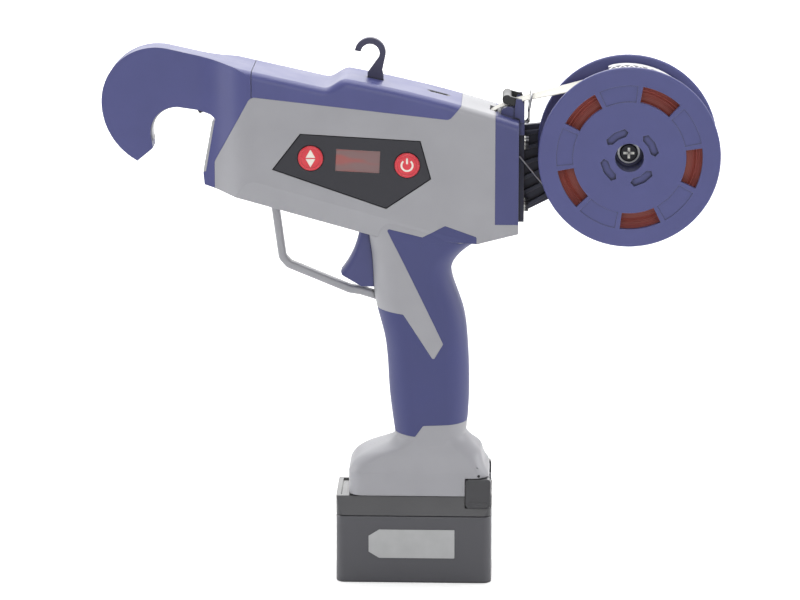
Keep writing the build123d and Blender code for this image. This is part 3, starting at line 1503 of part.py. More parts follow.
# Feed rollers, gears and motor
tape_height = channel_height_at(FEED_X)
nip = half_tape + TOUCH
feed_centre = (FEED_X, tape_height - nip - FEED_RADIUS)
idler_centre = (FEED_X, tape_height + nip + IDLER_RADIUS)
gear_distance = GEAR_MODULE * (GEAR_TEETH + PINION_TEETH) / 2 + TOUCH
pinion_centre = along(feed_centre, PINION_BEARING, gear_distance)
gear_back = GEAR_FACE + GEAR_WIDTH


def toothed_wheel(centre, teeth, phase):
    """Spur gear with curved flanks about a side-view centre, one tooth at the phase angle."""
    pressure = radians(PRESSURE_ANGLE)
    pitch = GEAR_MODULE * teeth / 2
    base = pitch * cos(pressure)
    tip = pitch + ADDENDUM * GEAR_MODULE
    root = pitch - DEDENDUM * GEAR_MODULE
    half_tooth = pi / (2 * teeth) - BACKLASH / (2 * pitch)
    flank_shift = half_tooth + tan(pressure) - pressure

    def flank(radius):
        lean = acos(base / radius)
        return degrees(flank_shift - tan(lean) + lean)

    stations = [base, (base + tip) / 2, tip]
    upper = [along((0, 0), flank(radius), radius) for radius in stations]
    lower = [along((0, 0), -flank(radius), radius) for radius in stations]
    sunk = root - ROOTED
    with BuildSketch() as tooth:
        with BuildLine():
            Spline(*upper)
            Spline(*lower)
            Line(upper[-1], lower[-1])
            Polyline(upper[0], (sunk, upper[0][1]), (sunk, lower[0][1]), lower[0])
        make_face()
    with BuildSketch(side(gear_back)) as wheel:
        with Locations(centre):
            Circle(root)
            with PolarLocations(0, teeth, start_angle=phase):
                add(tooth.sketch)
    extrude(wheel.sketch, amount=GEAR_WIDTH)


with BuildPart() as feed_roller:
    rod(feed_centre, FEED_RADIUS, -ROLLER_HALF, ROLLER_HALF)
    rod(feed_centre, FEED_SHAFT_RADIUS, -cheek_outer - SHAFT_END, gear_back + SHAFT_END)
save(feed_roller.part, "feed_roller")
with BuildPart() as feed_gear:
    toothed_wheel(feed_centre, GEAR_TEETH, PINION_BEARING + 180 / GEAR_TEETH)
    rod(feed_centre, FEED_SHAFT_RADIUS + RUNNING_FIT, -BEYOND, BEYOND, Mode.SUBTRACT)
save(feed_gear.part, "feed_gear")
with BuildPart() as feed_pinion:
    toothed_wheel(pinion_centre, PINION_TEETH, PINION_BEARING + 180)
    rod(pinion_centre, PINION_SHAFT_RADIUS, CHEEK_INNER - PINION_INSERT, GEAR_FACE + ROOTED)
save(feed_pinion.part, "feed_pinion")
with BuildPart() as feed_motor:
    rod(pinion_centre, FEED_MOTOR_RADIUS, -FEED_MOTOR_REACH, CHEEK_INNER)
    inside = FEED_MOTOR_RADIUS - CAN_WALL
    rod(pinion_centre, inside, CAN_END - FEED_MOTOR_REACH, CHEEK_INNER - CAN_END, Mode.SUBTRACT)
    vent_low = (CHEEK_INNER - FEED_MOTOR_REACH - CAN_VENT) / 2
    vent_x = pinion_centre[0] - CAN_VENT / 2
    block(vent_x, vent_x + CAN_VENT, vent_low, vent_low + CAN_VENT, 0, BEYOND, Mode.SUBTRACT)
    rod(pinion_centre, FEED_MOTOR_RADIUS * CORE_SHARE, -FEED_MOTOR_REACH, CHEEK_INNER)
    insert_end = CHEEK_INNER - PINION_INSERT - STOP_GAP
    rod(pinion_centre, PINION_SHAFT_RADIUS + RUNNING_FIT, insert_end, BEYOND, Mode.SUBTRACT)
save(feed_motor.part, "feed_motor")
with BuildPart() as idler_roller:
    rod(idler_centre, IDLER_RADIUS, -ROLLER_HALF, ROLLER_HALF)
    rod(idler_centre, IDLER_SHAFT_RADIUS, -cheek_outer - SHAFT_END, cheek_outer + SHAFT_END)
save(idler_roller.part, "idler_roller")

# Mechanism frame: two cheeks between a front and a rear flange
FRAME_FRONT = (-40.0, 258.0)
FRAME_REAR = (12.0, 261.0)
FRAME_TOP = 276.5
REAR_FLANGE_BASE = 233.0
MOTOR_CHEEK = (
    FRAME_FRONT,
    (-34.0, 250.0),
    (-14.5, 242.0),
    (-14.5, 231.0),
    (FRAME_REAR[0], 231.0),
    FRAME_REAR,
    (-8.0, FRAME_TOP),
    (FRAME_FRONT[0], FRAME_TOP),
)
FREE_CHEEK = (
    FRAME_FRONT,
    (-34.0, 250.0),
    (-16.0, 250.0),
    (-13.5, 256.0),
    (FRAME_REAR[0], 256.0),
    FRAME_REAR,
    (-6.0, FRAME_REAR[1]),
    (-8.0, FRAME_TOP),
    (FRAME_FRONT[0], FRAME_TOP),
)
flange_half = half_cavity - TOUCH
front_flange = (FRAME_FRONT[0], FRAME_FRONT[0] + CHEEK_THICKNESS)
rear_flange = (FRAME_REAR[0] - CHEEK_THICKNESS, FRAME_REAR[0])
with BuildPart() as mechanism_frame:
    prism(MOTOR_CHEEK, CHEEK_INNER, cheek_outer)
    prism(FREE_CHEEK, -cheek_outer, -CHEEK_INNER)
    block(*front_flange, -flange_half, flange_half, FRAME_FRONT[1], FRAME_TOP)
    block(*rear_flange, -flange_half, flange_half, REAR_FLANGE_BASE, FRAME_REAR[1])
    rod(feed_centre, FEED_SHAFT_RADIUS + RUNNING_FIT, -BEYOND, BEYOND, Mode.SUBTRACT)
    rod(idler_centre, IDLER_SHAFT_RADIUS + RUNNING_FIT, -BEYOND, BEYOND, Mode.SUBTRACT)
    rod(pinion_centre, PINION_SHAFT_HOLE, 0, BEYOND, Mode.SUBTRACT)
    channel_seat(Mode.SUBTRACT)
save(mechanism_frame.part, "mechanism_frame")

# Battery pack: tub, lid with slide rail, cells and contacts
LABEL_OUTLINE = (
    (-25.3, 27.4),
    (-19.4, 31.2),
    (23.0, 31.2),
    (23.0, 14.6),
    (-19.4, 14.6),
    (-25.3, 18.2),
)
label_floor = LABEL_SINK - half_pack
with BuildPart() as battery_tub:
    with BuildSketch():
        RectangleRounded(PACK_LENGTH, PACK_WIDTH, PACK_CORNER)
    extrude(amount=PACK_SPLIT)
    fillet(battery_tub.edges().group_by(Axis.Z)[0], PACK_EDGE)
    fillet(battery_tub.edges().group_by(Axis.Z)[-1], PACK_SHOULDER)
    inner_length = PACK_LENGTH - 2 * PACK_WALL
    inner_width = PACK_WIDTH - 2 * PACK_WALL
    with BuildSketch(Plane.XY.offset(PACK_WALL)):
        RectangleRounded(inner_length, inner_width, PACK_CORNER - PACK_WALL)
    extrude(amount=PACK_SPLIT, mode=Mode.SUBTRACT)
    prism(LABEL_OUTLINE, -BEYOND, label_floor, Mode.SUBTRACT)
save(battery_tub.part, "battery_tub")
with BuildPart() as battery_label:
    prism(LABEL_OUTLINE, label_floor - LABEL_THICKNESS, label_floor)
    fillet(battery_label.edges().filter_by(Axis.Y), LABEL_CORNER)
save(battery_label.part, "battery_label")
with BuildPart() as battery_lid:
    with BuildSketch(Plane.XY.offset(PACK_SPLIT)):
        RectangleRounded(PACK_LENGTH, PACK_WIDTH, PACK_CORNER)
    extrude(amount=PACK_TOP - PACK_SPLIT)
    fillet(battery_lid.edges().group_by(Axis.Z)[0], PACK_SHOULDER)
    with BuildSketch(Plane.YZ.offset(-PACK_LENGTH)) as lid_end:
        with BuildLine():
            Polyline(
                (-half_pack, PACK_SPLIT),
                (half_pack, PACK_SPLIT),
                (half_pack - LID_SLOPE, PACK_TOP),
                (LID_SLOPE - half_pack, PACK_TOP),
                close=True,
            )
        make_face()
    extrude(lid_end.sketch, amount=2 * PACK_LENGTH, mode=Mode.INTERSECT)
    lid_inner = half_pack - LID_SLOPE - PACK_WALL
    end_inner = PACK_LENGTH / 2 - PACK_WALL
    ceiling = PACK_TOP - PACK_WALL
    shelf = LATCH_BASE - LATCH_SHELF
    block(-end_inner, end_inner, -lid_inner, lid_inner, 0, shelf, Mode.SUBTRACT)
    block(-end_inner, LATCH_FRONT - WALL, -lid_inner, lid_inner, 0, ceiling, Mode.SUBTRACT)
    recess_base = PACK_TOP - LID_RECESS_DEPTH
    block(*LID_RECESS, -LID_RECESS_HALF, LID_RECESS_HALF, recess_base, BEYOND, Mode.SUBTRACT)
    block(RAIL_FRONT, RAIL_REAR, -RAIL_NECK, RAIL_NECK, PACK_TOP - ROOTED, rail_top)
    block(RAIL_FRONT, RAIL_REAR, -RAIL_FLANGE, RAIL_FLANGE, rail_floor, rail_top)
    for y in (-CONTACT_Y, CONTACT_Y):
        y_low = y - CONTACT_SLOT_HALF
        y_high = y + CONTACT_SLOT_HALF
        block(-BEYOND, CONTACT_SLOT_END, y_low, y_high, rail_floor, BEYOND, Mode.SUBTRACT)
    latch_pockets(LATCH_BASE - PLAY, BEYOND, Mode.SUBTRACT)
save(battery_lid.part, "battery_lid")
with BuildPart() as battery_terminals:
    jaw = TERMINAL_HALF - TERMINAL_WALL
    for y in (-CONTACT_Y, CONTACT_Y):
        block(*TERMINAL_SPAN, y - TERMINAL_HALF, y + TERMINAL_HALF, rail_floor, rail_top - PLAY)
        block(-BEYOND, BEYOND, y - jaw, y + jaw, rail_floor + TERMINAL_WALL, BEYOND, Mode.SUBTRACT)
save(battery_terminals.part, "battery_terminals")
lower_cell = PACK_WALL + CELL_FLOOR + CELL_RADIUS
upper_cell = lower_cell + 2 * CELL_RADIUS + CELL_GAP
cell_y = CELL_RADIUS + CELL_GAP / 2 + TOUCH
cell_end = CELL_LENGTH / 2
cell_places = [(y, z) for z in (lower_cell, upper_cell) for y in (-cell_y, cell_y)]
with BuildPart() as cells:
    for y, z in cell_places:
        rod_x(y, z, CELL_RADIUS, -cell_end, cell_end)
        rod_x(y, z, CELL_TIP_RADIUS, cell_end, cell_end + CELL_TIP)
save(cells.part, "cells")
holder_y = half_pack - PACK_WALL - PLAY
with BuildPart() as cell_holders:
    for x in (-HOLDER_X, HOLDER_X):
        block(x - HOLDER_HALF, x + HOLDER_HALF, -holder_y, holder_y, PACK_WALL, PACK_SPLIT)
    for y, z in cell_places:
        rod_x(y, z, CELL_RADIUS + TOUCH, -BEYOND, BEYOND, Mode.SUBTRACT)
save(cell_holders.part, "cell_holders")

# Side latches of the pack, each with a ridge for the finger
LATCH_OUTLINE = (
    (LATCH_FRONT, LATCH_BASE),
    (LATCH_REAR, LATCH_BASE),
    (LATCH_REAR, LATCH_TOP),
    (LATCH_FRONT, LATCH_TOP),
)
with BuildPart() as left_latch:
    soft_prism(LATCH_OUTLINE, LATCH_CORNER, -latch_outer, -latch_inner)
    fillet(left_latch.faces().sort_by(Axis.Y)[0].edges(), LATCH_EDGE)
    block(
        LATCH_FRONT + LATCH_CORNER,
        LATCH_REAR - LATCH_CORNER,
        -latch_outer - RIDGE_STAND,
        -latch_inner,
        RIDGE_BASE,
        RIDGE_BASE + RIDGE_HEIGHT,
    )
save(left_latch.part, "left_latch")
with BuildPart() as right_latch:
    mirror(left_latch.part, about=Plane.XZ)
save(right_latch.part, "right_latch")

# Terminal block in the foot with two contact blades
blade_top = FOOT_FLOOR + BLADE_INSERT
with BuildPart() as terminal_block:
    block(*BLOCK_SPAN, -BLOCK_HALF, BLOCK_HALF, FOOT_FLOOR, FOOT_FLOOR + BLOCK_HEIGHT)
    gap = BLADE_HALF + TOUCH
    for y in (-CONTACT_Y, CONTACT_Y):
        block(*BLADE_SPAN, y - gap, y + gap, 0, blade_top, Mode.SUBTRACT)
save(terminal_block.part, "terminal_block")
with BuildPart() as contact_blades:
    blade_base = rail_floor + BLADE_GAP
    blade_front = BLADE_SPAN[0] + TOUCH
    blade_rear = BLADE_SPAN[1] - TOUCH
    for y in (-CONTACT_Y, CONTACT_Y):
        block(blade_front, blade_rear, y - BLADE_HALF, y + BLADE_HALF, blade_base, blade_top)
save(contact_blades.part, "contact_blades")
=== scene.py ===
# %% [markdown]
# # Electric vine tying tool
#
# A hand tool for the vineyard. Its hook goes round a shoot and a wire, tape from the spool is fed
# round the hook, and a small head twists and cuts it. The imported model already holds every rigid
# piece at its real size. This lesson dresses those pieces with finishes, models what is soft or
# printed, and sets up the studio. Blender works in metres, so MM turns millimetres into metres.

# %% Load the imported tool
from math import atan2, cos, pi, radians, sin, tau

import bmesh
import bpy
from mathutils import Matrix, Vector


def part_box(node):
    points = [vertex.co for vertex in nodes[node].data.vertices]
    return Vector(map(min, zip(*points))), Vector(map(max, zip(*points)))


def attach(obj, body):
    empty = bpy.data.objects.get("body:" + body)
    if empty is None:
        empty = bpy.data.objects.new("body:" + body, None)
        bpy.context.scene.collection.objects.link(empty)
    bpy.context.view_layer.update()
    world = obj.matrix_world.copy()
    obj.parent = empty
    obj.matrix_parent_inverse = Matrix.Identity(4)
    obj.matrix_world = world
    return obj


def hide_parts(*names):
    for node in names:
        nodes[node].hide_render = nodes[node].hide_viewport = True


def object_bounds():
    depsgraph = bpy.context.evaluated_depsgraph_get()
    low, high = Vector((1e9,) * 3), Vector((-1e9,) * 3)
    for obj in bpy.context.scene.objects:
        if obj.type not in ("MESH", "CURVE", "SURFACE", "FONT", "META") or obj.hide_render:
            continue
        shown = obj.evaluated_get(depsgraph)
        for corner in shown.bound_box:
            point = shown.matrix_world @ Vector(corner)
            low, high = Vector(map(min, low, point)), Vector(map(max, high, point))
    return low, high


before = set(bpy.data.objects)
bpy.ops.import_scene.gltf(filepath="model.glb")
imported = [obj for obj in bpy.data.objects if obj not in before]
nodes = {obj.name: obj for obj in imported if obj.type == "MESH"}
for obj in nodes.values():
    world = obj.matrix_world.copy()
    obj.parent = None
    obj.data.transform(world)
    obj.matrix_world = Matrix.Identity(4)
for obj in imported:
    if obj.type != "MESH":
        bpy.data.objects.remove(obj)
cad_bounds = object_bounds()
MM = 0.001
bpy.ops.object.select_all(action="DESELECT")

# %% [markdown]
# ## Camera
#
# The photograph is a product shot: a long lens, a little above the tool and almost square to its
# side. A camera could be fitted by eye, but the battery's edges and the spool's round flanges give
# its angle and distance, and those numbers are used here.

# %% Camera at the photograph's angle
CAMERA_PLACE = (0.060, -1.958, 0.629)
CAMERA_AZIMUTH = radians(2.0)
CAMERA_ELEVATION = radians(13.5)
LENS_MM = 162.0
SENSOR_MM = 36.0
bpy.ops.object.camera_add(
    location=CAMERA_PLACE,
    rotation=(pi / 2 - CAMERA_ELEVATION, 0, CAMERA_AZIMUTH),
)
camera = bpy.context.active_object
camera.data.lens = LENS_MM
camera.data.sensor_width = SENSOR_MM
bpy.context.scene.camera = camera
print("camera at", tuple(camera.location))

# %% [markdown]
# ## Helpers for finishes
#
# Colours are written as sRGB hex values, the way a picker shows them, and one function turns them
# into the linear values that shaders need. Another adds a shader node with its options and inputs in
# one call, so that a finish reads as a short recipe. An input that is given a socket of another node
# is linked to it, and any other input is set to the value given.

# %% Colour and node helpers


def linear(hex_colour, factor=1.0):
    """Linear RGBA of an sRGB hex colour, made darker or lighter by a factor."""
    colour = []
    for place in (1, 3, 5):
        level = int(hex_colour[place:place + 2], 16) / 255
        light = level / 12.92 if level <= 0.04045 else ((level + 0.055) / 1.055) ** 2.4
        colour.append(factor * light)
    return [*colour, 1.0]


def fill_inputs(tree, node, inputs):
    """Link the inputs that are given a socket, and set the others to their value."""
    for name, given in inputs.items():
        if isinstance(given, bpy.types.NodeSocket):
            tree.links.new(given, node.inputs[name])
        else:
            node.inputs[name].default_value = given


def add_node(tree, kind, inputs=None, **options):
    """Add one shader node, set its options and fill its inputs."""
    made = tree.nodes.new(kind)
    for name, option in options.items():
        setattr(made, name, option)
    fill_inputs(tree, made, inputs or {})
    return made


def start_finish(name):
    """New material with a bare shader; gives the material, its tree, shader and object place."""
    material = bpy.data.materials.new(name)
    material.use_nodes = True
    tree = material.node_tree
    shader = tree.nodes["Principled BSDF"]
    place = add_node(tree, "ShaderNodeTexCoord").outputs["Object"]
    return material, tree, shader, place


def refine(material, inputs):
    """Fill further inputs of a finish's shader."""
    tree = material.node_tree
    fill_inputs(tree, tree.nodes["Principled BSDF"], inputs)


def dress(material, *names):
    """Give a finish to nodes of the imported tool."""
    for name in names:
        nodes[name].data.materials.clear()
        nodes[name].data.materials.append(material)
    print(material.name, "on", ", ".join(names))


# %% [markdown]
# ## Studio
#
# The photograph is lit like a light tent: white all round and overhead, and darker on the side
# where the camera stands. So the faces towards the camera keep their own colour, while tops and
# edges that turn away pick up white. A world with a soft change from front to back gives the tent,
# and five large lamps give it direction. The floor is plain and pale and keeps a soft shadow. Far
# from the tool it fades to white for the camera, as paper does that curves up behind the set.

# %% World
TENT_BACK = 1.0
TENT_FRONT = 0.25
TENT_FILL = 0.48
FRONT_HEADING = -1.0
BACK_HEADING = 0.2
world = bpy.data.worlds.new("light_tent")
bpy.context.scene.world = world
world.use_nodes = True
tent = world.node_tree
tent.nodes.clear()
rays = add_node(tent, "ShaderNodeLightPath").outputs
heading = add_node(tent, "ShaderNodeTexCoord").outputs["Generated"]
towards = add_node(tent, "ShaderNodeSeparateXYZ", {"Vector": heading})
sheen = add_node(
    tent,
    "ShaderNodeMapRange",
    {
        "Value": towards.outputs["Y"],
        "From Min": FRONT_HEADING,
        "From Max": BACK_HEADING,
        "To Min": TENT_FRONT,
        "To Max": TENT_BACK,
    },
)
mirrored = add_node(
    tent,
    "ShaderNodeMath",
    {0: rays["Is Glossy Ray"], 1: rays["Is Transmission Ray"]},
    operation="MAXIMUM",
)
reflected = add_node(
    tent,
    "ShaderNodeMix",
    {"Factor": mirrored.outputs[0], "A": TENT_FILL, "B": sheen.outputs["Result"]},
)
shown = add_node(
    tent,
    "ShaderNodeMix",
    {"Factor": rays["Is Camera Ray"], "A": reflected.outputs["Result"], "B": TENT_BACK},
)
glow = add_node(
    tent,
    "ShaderNodeBackground",
    {"Color": linear("#FFFFFF"), "Strength": shown.outputs["Result"]},
)
add_node(tent, "ShaderNodeOutputWorld", {"Surface": glow.outputs["Background"]})
print("world:", world.name)

# %% Floor
FLOOR_SIZE = 12.0
FLOOR_LEVEL = -0.1 * MM
FLOOR_GLOW = 0.32
FADE_START = 0.8
FADE_END = 2.2
bpy.ops.mesh.primitive_plane_add(size=FLOOR_SIZE, location=(0, 0, FLOOR_LEVEL))
floor = bpy.context.active_object
floor.name = "floor"
paper, tree, shader, place = start_finish("white_studio_paper")
floor_rays = add_node(tree, "ShaderNodeLightPath").outputs
distance = add_node(tree, "ShaderNodeVectorMath", {0: place}, operation="LENGTH")
fade = add_node(
    tree,
    "ShaderNodeMapRange",
    {
        "Value": distance.outputs["Value"],
        "From Min": FADE_START,
        "From Max": FADE_END,
        "To Min": FLOOR_GLOW,
        "To Max": 1.0,
    },
)
lift = add_node(
    tree,
    "ShaderNodeMath",
    {0: floor_rays["Is Camera Ray"], 1: fade.outputs["Result"]},
    operation="MULTIPLY",
)
fill_inputs(
    tree,
    shader,
    {
        "Base Color": linear("#F4F4F4"),
        "Roughness": 0.9,
        "Specular IOR Level": 0.0,
        "Emission Color": linear("#FFFFFF"),
        "Emission Strength": lift.outputs[0],
    },
)
floor.data.materials.append(paper)
print("floor:", FLOOR_SIZE, "m across")

# %% Lamps
# name, place, size across, watts
LAMPS = (
    ("overhead", (0.0, 0.35, 1.75), 1.6, 24.0),
    ("behind", (0.0, 1.7, 1.12), 1.8, 15.0),
    ("left_side", (-1.5, 0.1, 0.55), 1.0, 9.0),
    ("right_side", (1.5, 0.1, 0.55), 1.0, 9.0),
    ("front_fill", (0.25, -2.3, 1.0), 1.4, 13.0),
)
tool_middle = (cad_bounds[0] + cad_bounds[1]) / 2
for name, spot, size, watts in LAMPS:
    aim = (tool_middle - Vector(spot)).to_track_quat("-Z", "Y").to_euler()
    bpy.ops.object.light_add(type="AREA", location=spot, rotation=aim)
    lamp = bpy.context.active_object
    lamp.name = name
    lamp.data.size = size
    lamp.data.energy = watts
    lamp.visible_camera = False
bpy.context.scene.view_settings.view_transform = "Standard"
print("lamps:", len(LAMPS))

# %% [markdown]
# ## Moulded plastics
#
# Housing, head, cover, cap, flanges, arm and battery are injection-moulded. Such a shell has a fine
# spark-eroded grain that breaks up reflections, slow changes of tone, and edges that rub a little
# paler. The grain of the real shells is under half a millimetre, too fine to show at this size, so
# it is drawn about twice as coarse. A bevel in the shader rounds the light on hard edges, and the
# same bevel tells where an edge is: there its normal departs from the face's own. Narrow nooks,
# such as the hub's pockets, and creases between parts are darkened in colour: painted shade.

# %% Moulded plastic recipe
CLOUD_SIZE = 22.0 * MM
TONE_SPREAD = 0.08
EDGE_ROUND = 0.7 * MM
EDGE_STARTS = 0.96
EDGE_FULL = 0.7
RUBBED_TONE = "#E7E7EA"
RUBBED_SHARE = 0.45
# Painted shade in nooks: how far occlusion looks, where darkening starts and is full, its strength
# and tone
PAINTED_SHADE_REACH = 2.0 * MM
PAINTED_SHADE_STARTS = 0.88
PAINTED_SHADE_FULL = 0.45
PAINTED_SHADE_STRENGTH = 0.85
PAINTED_SHADE_TONE = 0.12


def moulded_plastic(name, hex_colour, roughness, grain_mm=1.0, grain_depth_mm=0.035, rub=0.22):
    """Moulded shell: slow tone, fine grain, slightly rubbed edges and painted shade in its nooks."""
    material, tree, shader, place = start_finish(name)
    rubbed = Vector(linear(hex_colour)).lerp(Vector(linear(RUBBED_TONE)), RUBBED_SHARE)
    cloud = add_node(tree, "ShaderNodeTexNoise", {"Vector": place, "Scale": 1 / CLOUD_SIZE})
    grain = add_node(
        tree,
        "ShaderNodeTexNoise",
        {"Vector": place, "Scale": 1 / (grain_mm * MM), "Detail": 3.0},
    )
    tone = add_node(
        tree,
        "ShaderNodeMixRGB",
        {
            "Fac": cloud.outputs["Fac"],
            "Color1": linear(hex_colour, 1 - TONE_SPREAD),
            "Color2": linear(hex_colour, 1 + TONE_SPREAD),
        },
    )
    edge = add_node(tree, "ShaderNodeBevel", {"Radius": EDGE_ROUND}, samples=4)
    surface = add_node(tree, "ShaderNodeNewGeometry")
    agreement = add_node(
        tree,
        "ShaderNodeVectorMath",
        {0: edge.outputs["Normal"], 1: surface.outputs["Normal"]},
        operation="DOT_PRODUCT",
    )
    wear = add_node(
        tree,
        "ShaderNodeMapRange",
        {
            "Value": agreement.outputs["Value"],
            "From Min": EDGE_STARTS,
            "From Max": EDGE_FULL,
            "To Min": 0.0,
            "To Max": rub,
        },
    )
    worn = add_node(
        tree,
        "ShaderNodeMixRGB",
        {"Fac": wear.outputs["Result"], "Color1": tone.outputs["Color"], "Color2": rubbed},
    )
    # Painted shade: where occlusion finds a nook or crease, the colour darkens towards a near-black
    # of its own hue
    nook = add_node(tree, "ShaderNodeAmbientOcclusion", {"Distance": PAINTED_SHADE_REACH}, samples=6)
    painted_shade_mask = add_node(
        tree,
        "ShaderNodeMapRange",
        {
            "Value": nook.outputs["AO"],
            "From Min": PAINTED_SHADE_STARTS,
            "From Max": PAINTED_SHADE_FULL,
            "To Min": 0.0,
            "To Max": PAINTED_SHADE_STRENGTH,
        },
    )
    with_painted_shade = add_node(
        tree,
        "ShaderNodeMixRGB",
        {
            "Fac": painted_shade_mask.outputs["Result"],
            "Color1": worn.outputs["Color"],
            "Color2": linear(hex_colour, PAINTED_SHADE_TONE),
        },
    )
    polish = add_node(
        tree,
        "ShaderNodeMapRange",
        {
            "Value": cloud.outputs["Fac"],
            "From Min": 0.3,
            "From Max": 0.7,
            "To Min": roughness - 0.04,
            "To Max": roughness + 0.05,
        },
    )
    relief = add_node(
        tree,
        "ShaderNodeBump",
        {
            "Height": grain.outputs["Fac"],
            "Normal": edge.outputs["Normal"],
            "Strength": 0.5,
            "Distance": grain_depth_mm * MM,
        },
    )
    fill_inputs(
        tree,
        shader,
        {
            "Base Color": with_painted_shade.outputs["Color"],
            "Roughness": polish.outputs["Result"],
            "Normal": relief.outputs["Normal"],
        },
    )
    return material


# %% Shells and covers
blue_abs = moulded_plastic("blue_moulded_abs", "#494C80", 0.38)
deep_blue_abs = moulded_plastic("deep_blue_moulded_abs", "#414474", 0.38)
grey_abs = moulded_plastic("grey_moulded_abs", "#99999E", 0.40)
arm_nylon = moulded_plastic("navy_filled_nylon", "#22243A", 0.45)
black_acetal = moulded_plastic("black_moulded_acetal", "#1D1E21", 0.36)
hook_nylon = moulded_plastic("dark_hook_nylon", "#3B3A55", 0.40)
natural_acetal = moulded_plastic("natural_white_acetal", "#DAD9D2", 0.45)
dress(blue_abs, "left_head", "right_head", "top_cover", "spool_front", "spool_rear")
dress(deep_blue_abs, "rear_cap", "trigger", "inlet_ears")
dress(grey_abs, "left_housing", "right_housing")
dress(arm_nylon, "spool_arm")
dress(black_acetal, "exit_tooth", "presser_arm", "slot_liner", "terminal_block", "trigger_switch")
dress(hook_nylon, "hanging_hook")
dress(natural_acetal, "tape_channel", "cell_holders", "display_module")

# %% [markdown]
# ## Battery shell
#
# The battery is moulded from filled nylon and has a thin gloss over its grain. A lower roughness
# would give the gloss but lose the soft grain below it, so a weak coat lies on top. The lid and its
# latches are darker than the tub.

# %% Battery nylon
NYLON_GLOSS = {"Coat Weight": 0.45, "Coat Roughness": 0.18}
pack_nylon = moulded_plastic("battery_moulded_nylon", "#3F3F45", 0.42, grain_mm=1.2)
lid_nylon = moulded_plastic("battery_lid_nylon", "#26262B", 0.36, grain_mm=1.2)
refine(pack_nylon, NYLON_GLOSS)
refine(lid_nylon, NYLON_GLOSS)
dress(pack_nylon, "battery_tub")
dress(lid_nylon, "battery_lid", "left_latch", "right_latch")

# %% [markdown]
# ## Soft grip
#
# The handle wears a skin of thermoplastic rubber, moulded over the shell. Rubber scatters light in
# a soft bloom at its edges and shows hardly any mirror image, so its roughness is high, a little
# sheen is added, and its grain is finer and deeper than the shell's.

# %% Rubber finish
grip_rubber = moulded_plastic(
    "blue_overmoulded_rubber",
    "#3B3F70",
    0.58,
    grain_mm=0.9,
    grain_depth_mm=0.05,
    rub=0.12,
)
refine(grip_rubber, {"Sheen Weight": 0.12, "Sheen Roughness": 0.5})
dress(grip_rubber, "left_grip", "right_grip")

# %% [markdown]
# ## Metals
#
# The hook track, face plate, pins, wire and screws are steel, ground or drawn in one direction.
# Fine strokes in roughness and bump, long along X and narrow across, give the streaked highlight.
# Gears and contacts are brass, turned and then tarnished in patches.

# %% Metal recipe
PATCH_SIZE = 9.0 * MM
TARNISH = 0.8
STROKE_DEPTH = 0.02 * MM


def drawn_metal(name, hex_colour, roughness, stroke_mm, width_mm):
    """Metal with fine strokes along X and slow patches of tarnish."""
    material, tree, shader, place = start_finish(name)
    stroke_scale = (1 / (stroke_mm * MM), 1 / (width_mm * MM), 1 / (width_mm * MM))
    spread = add_node(tree, "ShaderNodeMapping", {"Vector": place, "Scale": stroke_scale})
    strokes = add_node(
        tree,
        "ShaderNodeTexNoise",
        {"Vector": spread.outputs["Vector"], "Scale": 1.0, "Detail": 4.0},
    )
    patches = add_node(tree, "ShaderNodeTexNoise", {"Vector": place, "Scale": 1 / PATCH_SIZE})
    tone = add_node(
        tree,
        "ShaderNodeMixRGB",
        {
            "Fac": patches.outputs["Fac"],
            "Color1": linear(hex_colour, TARNISH),
            "Color2": linear(hex_colour),
        },
    )
    polish = add_node(
        tree,
        "ShaderNodeMapRange",
        {
            "Value": strokes.outputs["Fac"],
            "To Min": roughness - 0.1,
            "To Max": roughness + 0.12,
        },
    )
    relief = add_node(
        tree,
        "ShaderNodeBump",
        {"Height": strokes.outputs["Fac"], "Strength": 0.35, "Distance": STROKE_DEPTH},
    )
    fill_inputs(
        tree,
        shader,
        {
            "Base Color": tone.outputs["Color"],
            "Metallic": 1.0,
            "Roughness": polish.outputs["Result"],
            "Normal": relief.outputs["Normal"],
        },
    )
    return material


# %% Steel and brass
ground_steel = drawn_metal("ground_steel", "#B9BABD", 0.32, stroke_mm=6.0, width_mm=0.5)
motor_steel = drawn_metal("rolled_motor_steel", "#A7A8AC", 0.38, stroke_mm=12.0, width_mm=0.8)
machined_brass = drawn_metal("machined_brass", "#C9A24E", 0.30, stroke_mm=3.0, width_mm=0.5)
dress(ground_steel, "hook_track", "face_plate", "guide_loop", "drag_wire", "spool_axle")
dress(ground_steel, "axle_washer", "twister", "cutter_blade", "mechanism_frame")
dress(ground_steel, "idler_roller")
dress(motor_steel, "twist_gearmotor", "feed_motor", "cutter_solenoid")
dress(machined_brass, "feed_gear", "feed_pinion", "twister_bush", "contact_blades")
dress(machined_brass, "battery_terminals")

# %% [markdown]
# ## Screws
#
# The screws are blacked steel, and a driver has bared the metal in their sockets. Painting the
# sockets by hand would need a face selection on each screw. Ambient occlusion finds every socket by
# itself, because a socket is a nook, and there the colour turns bright.

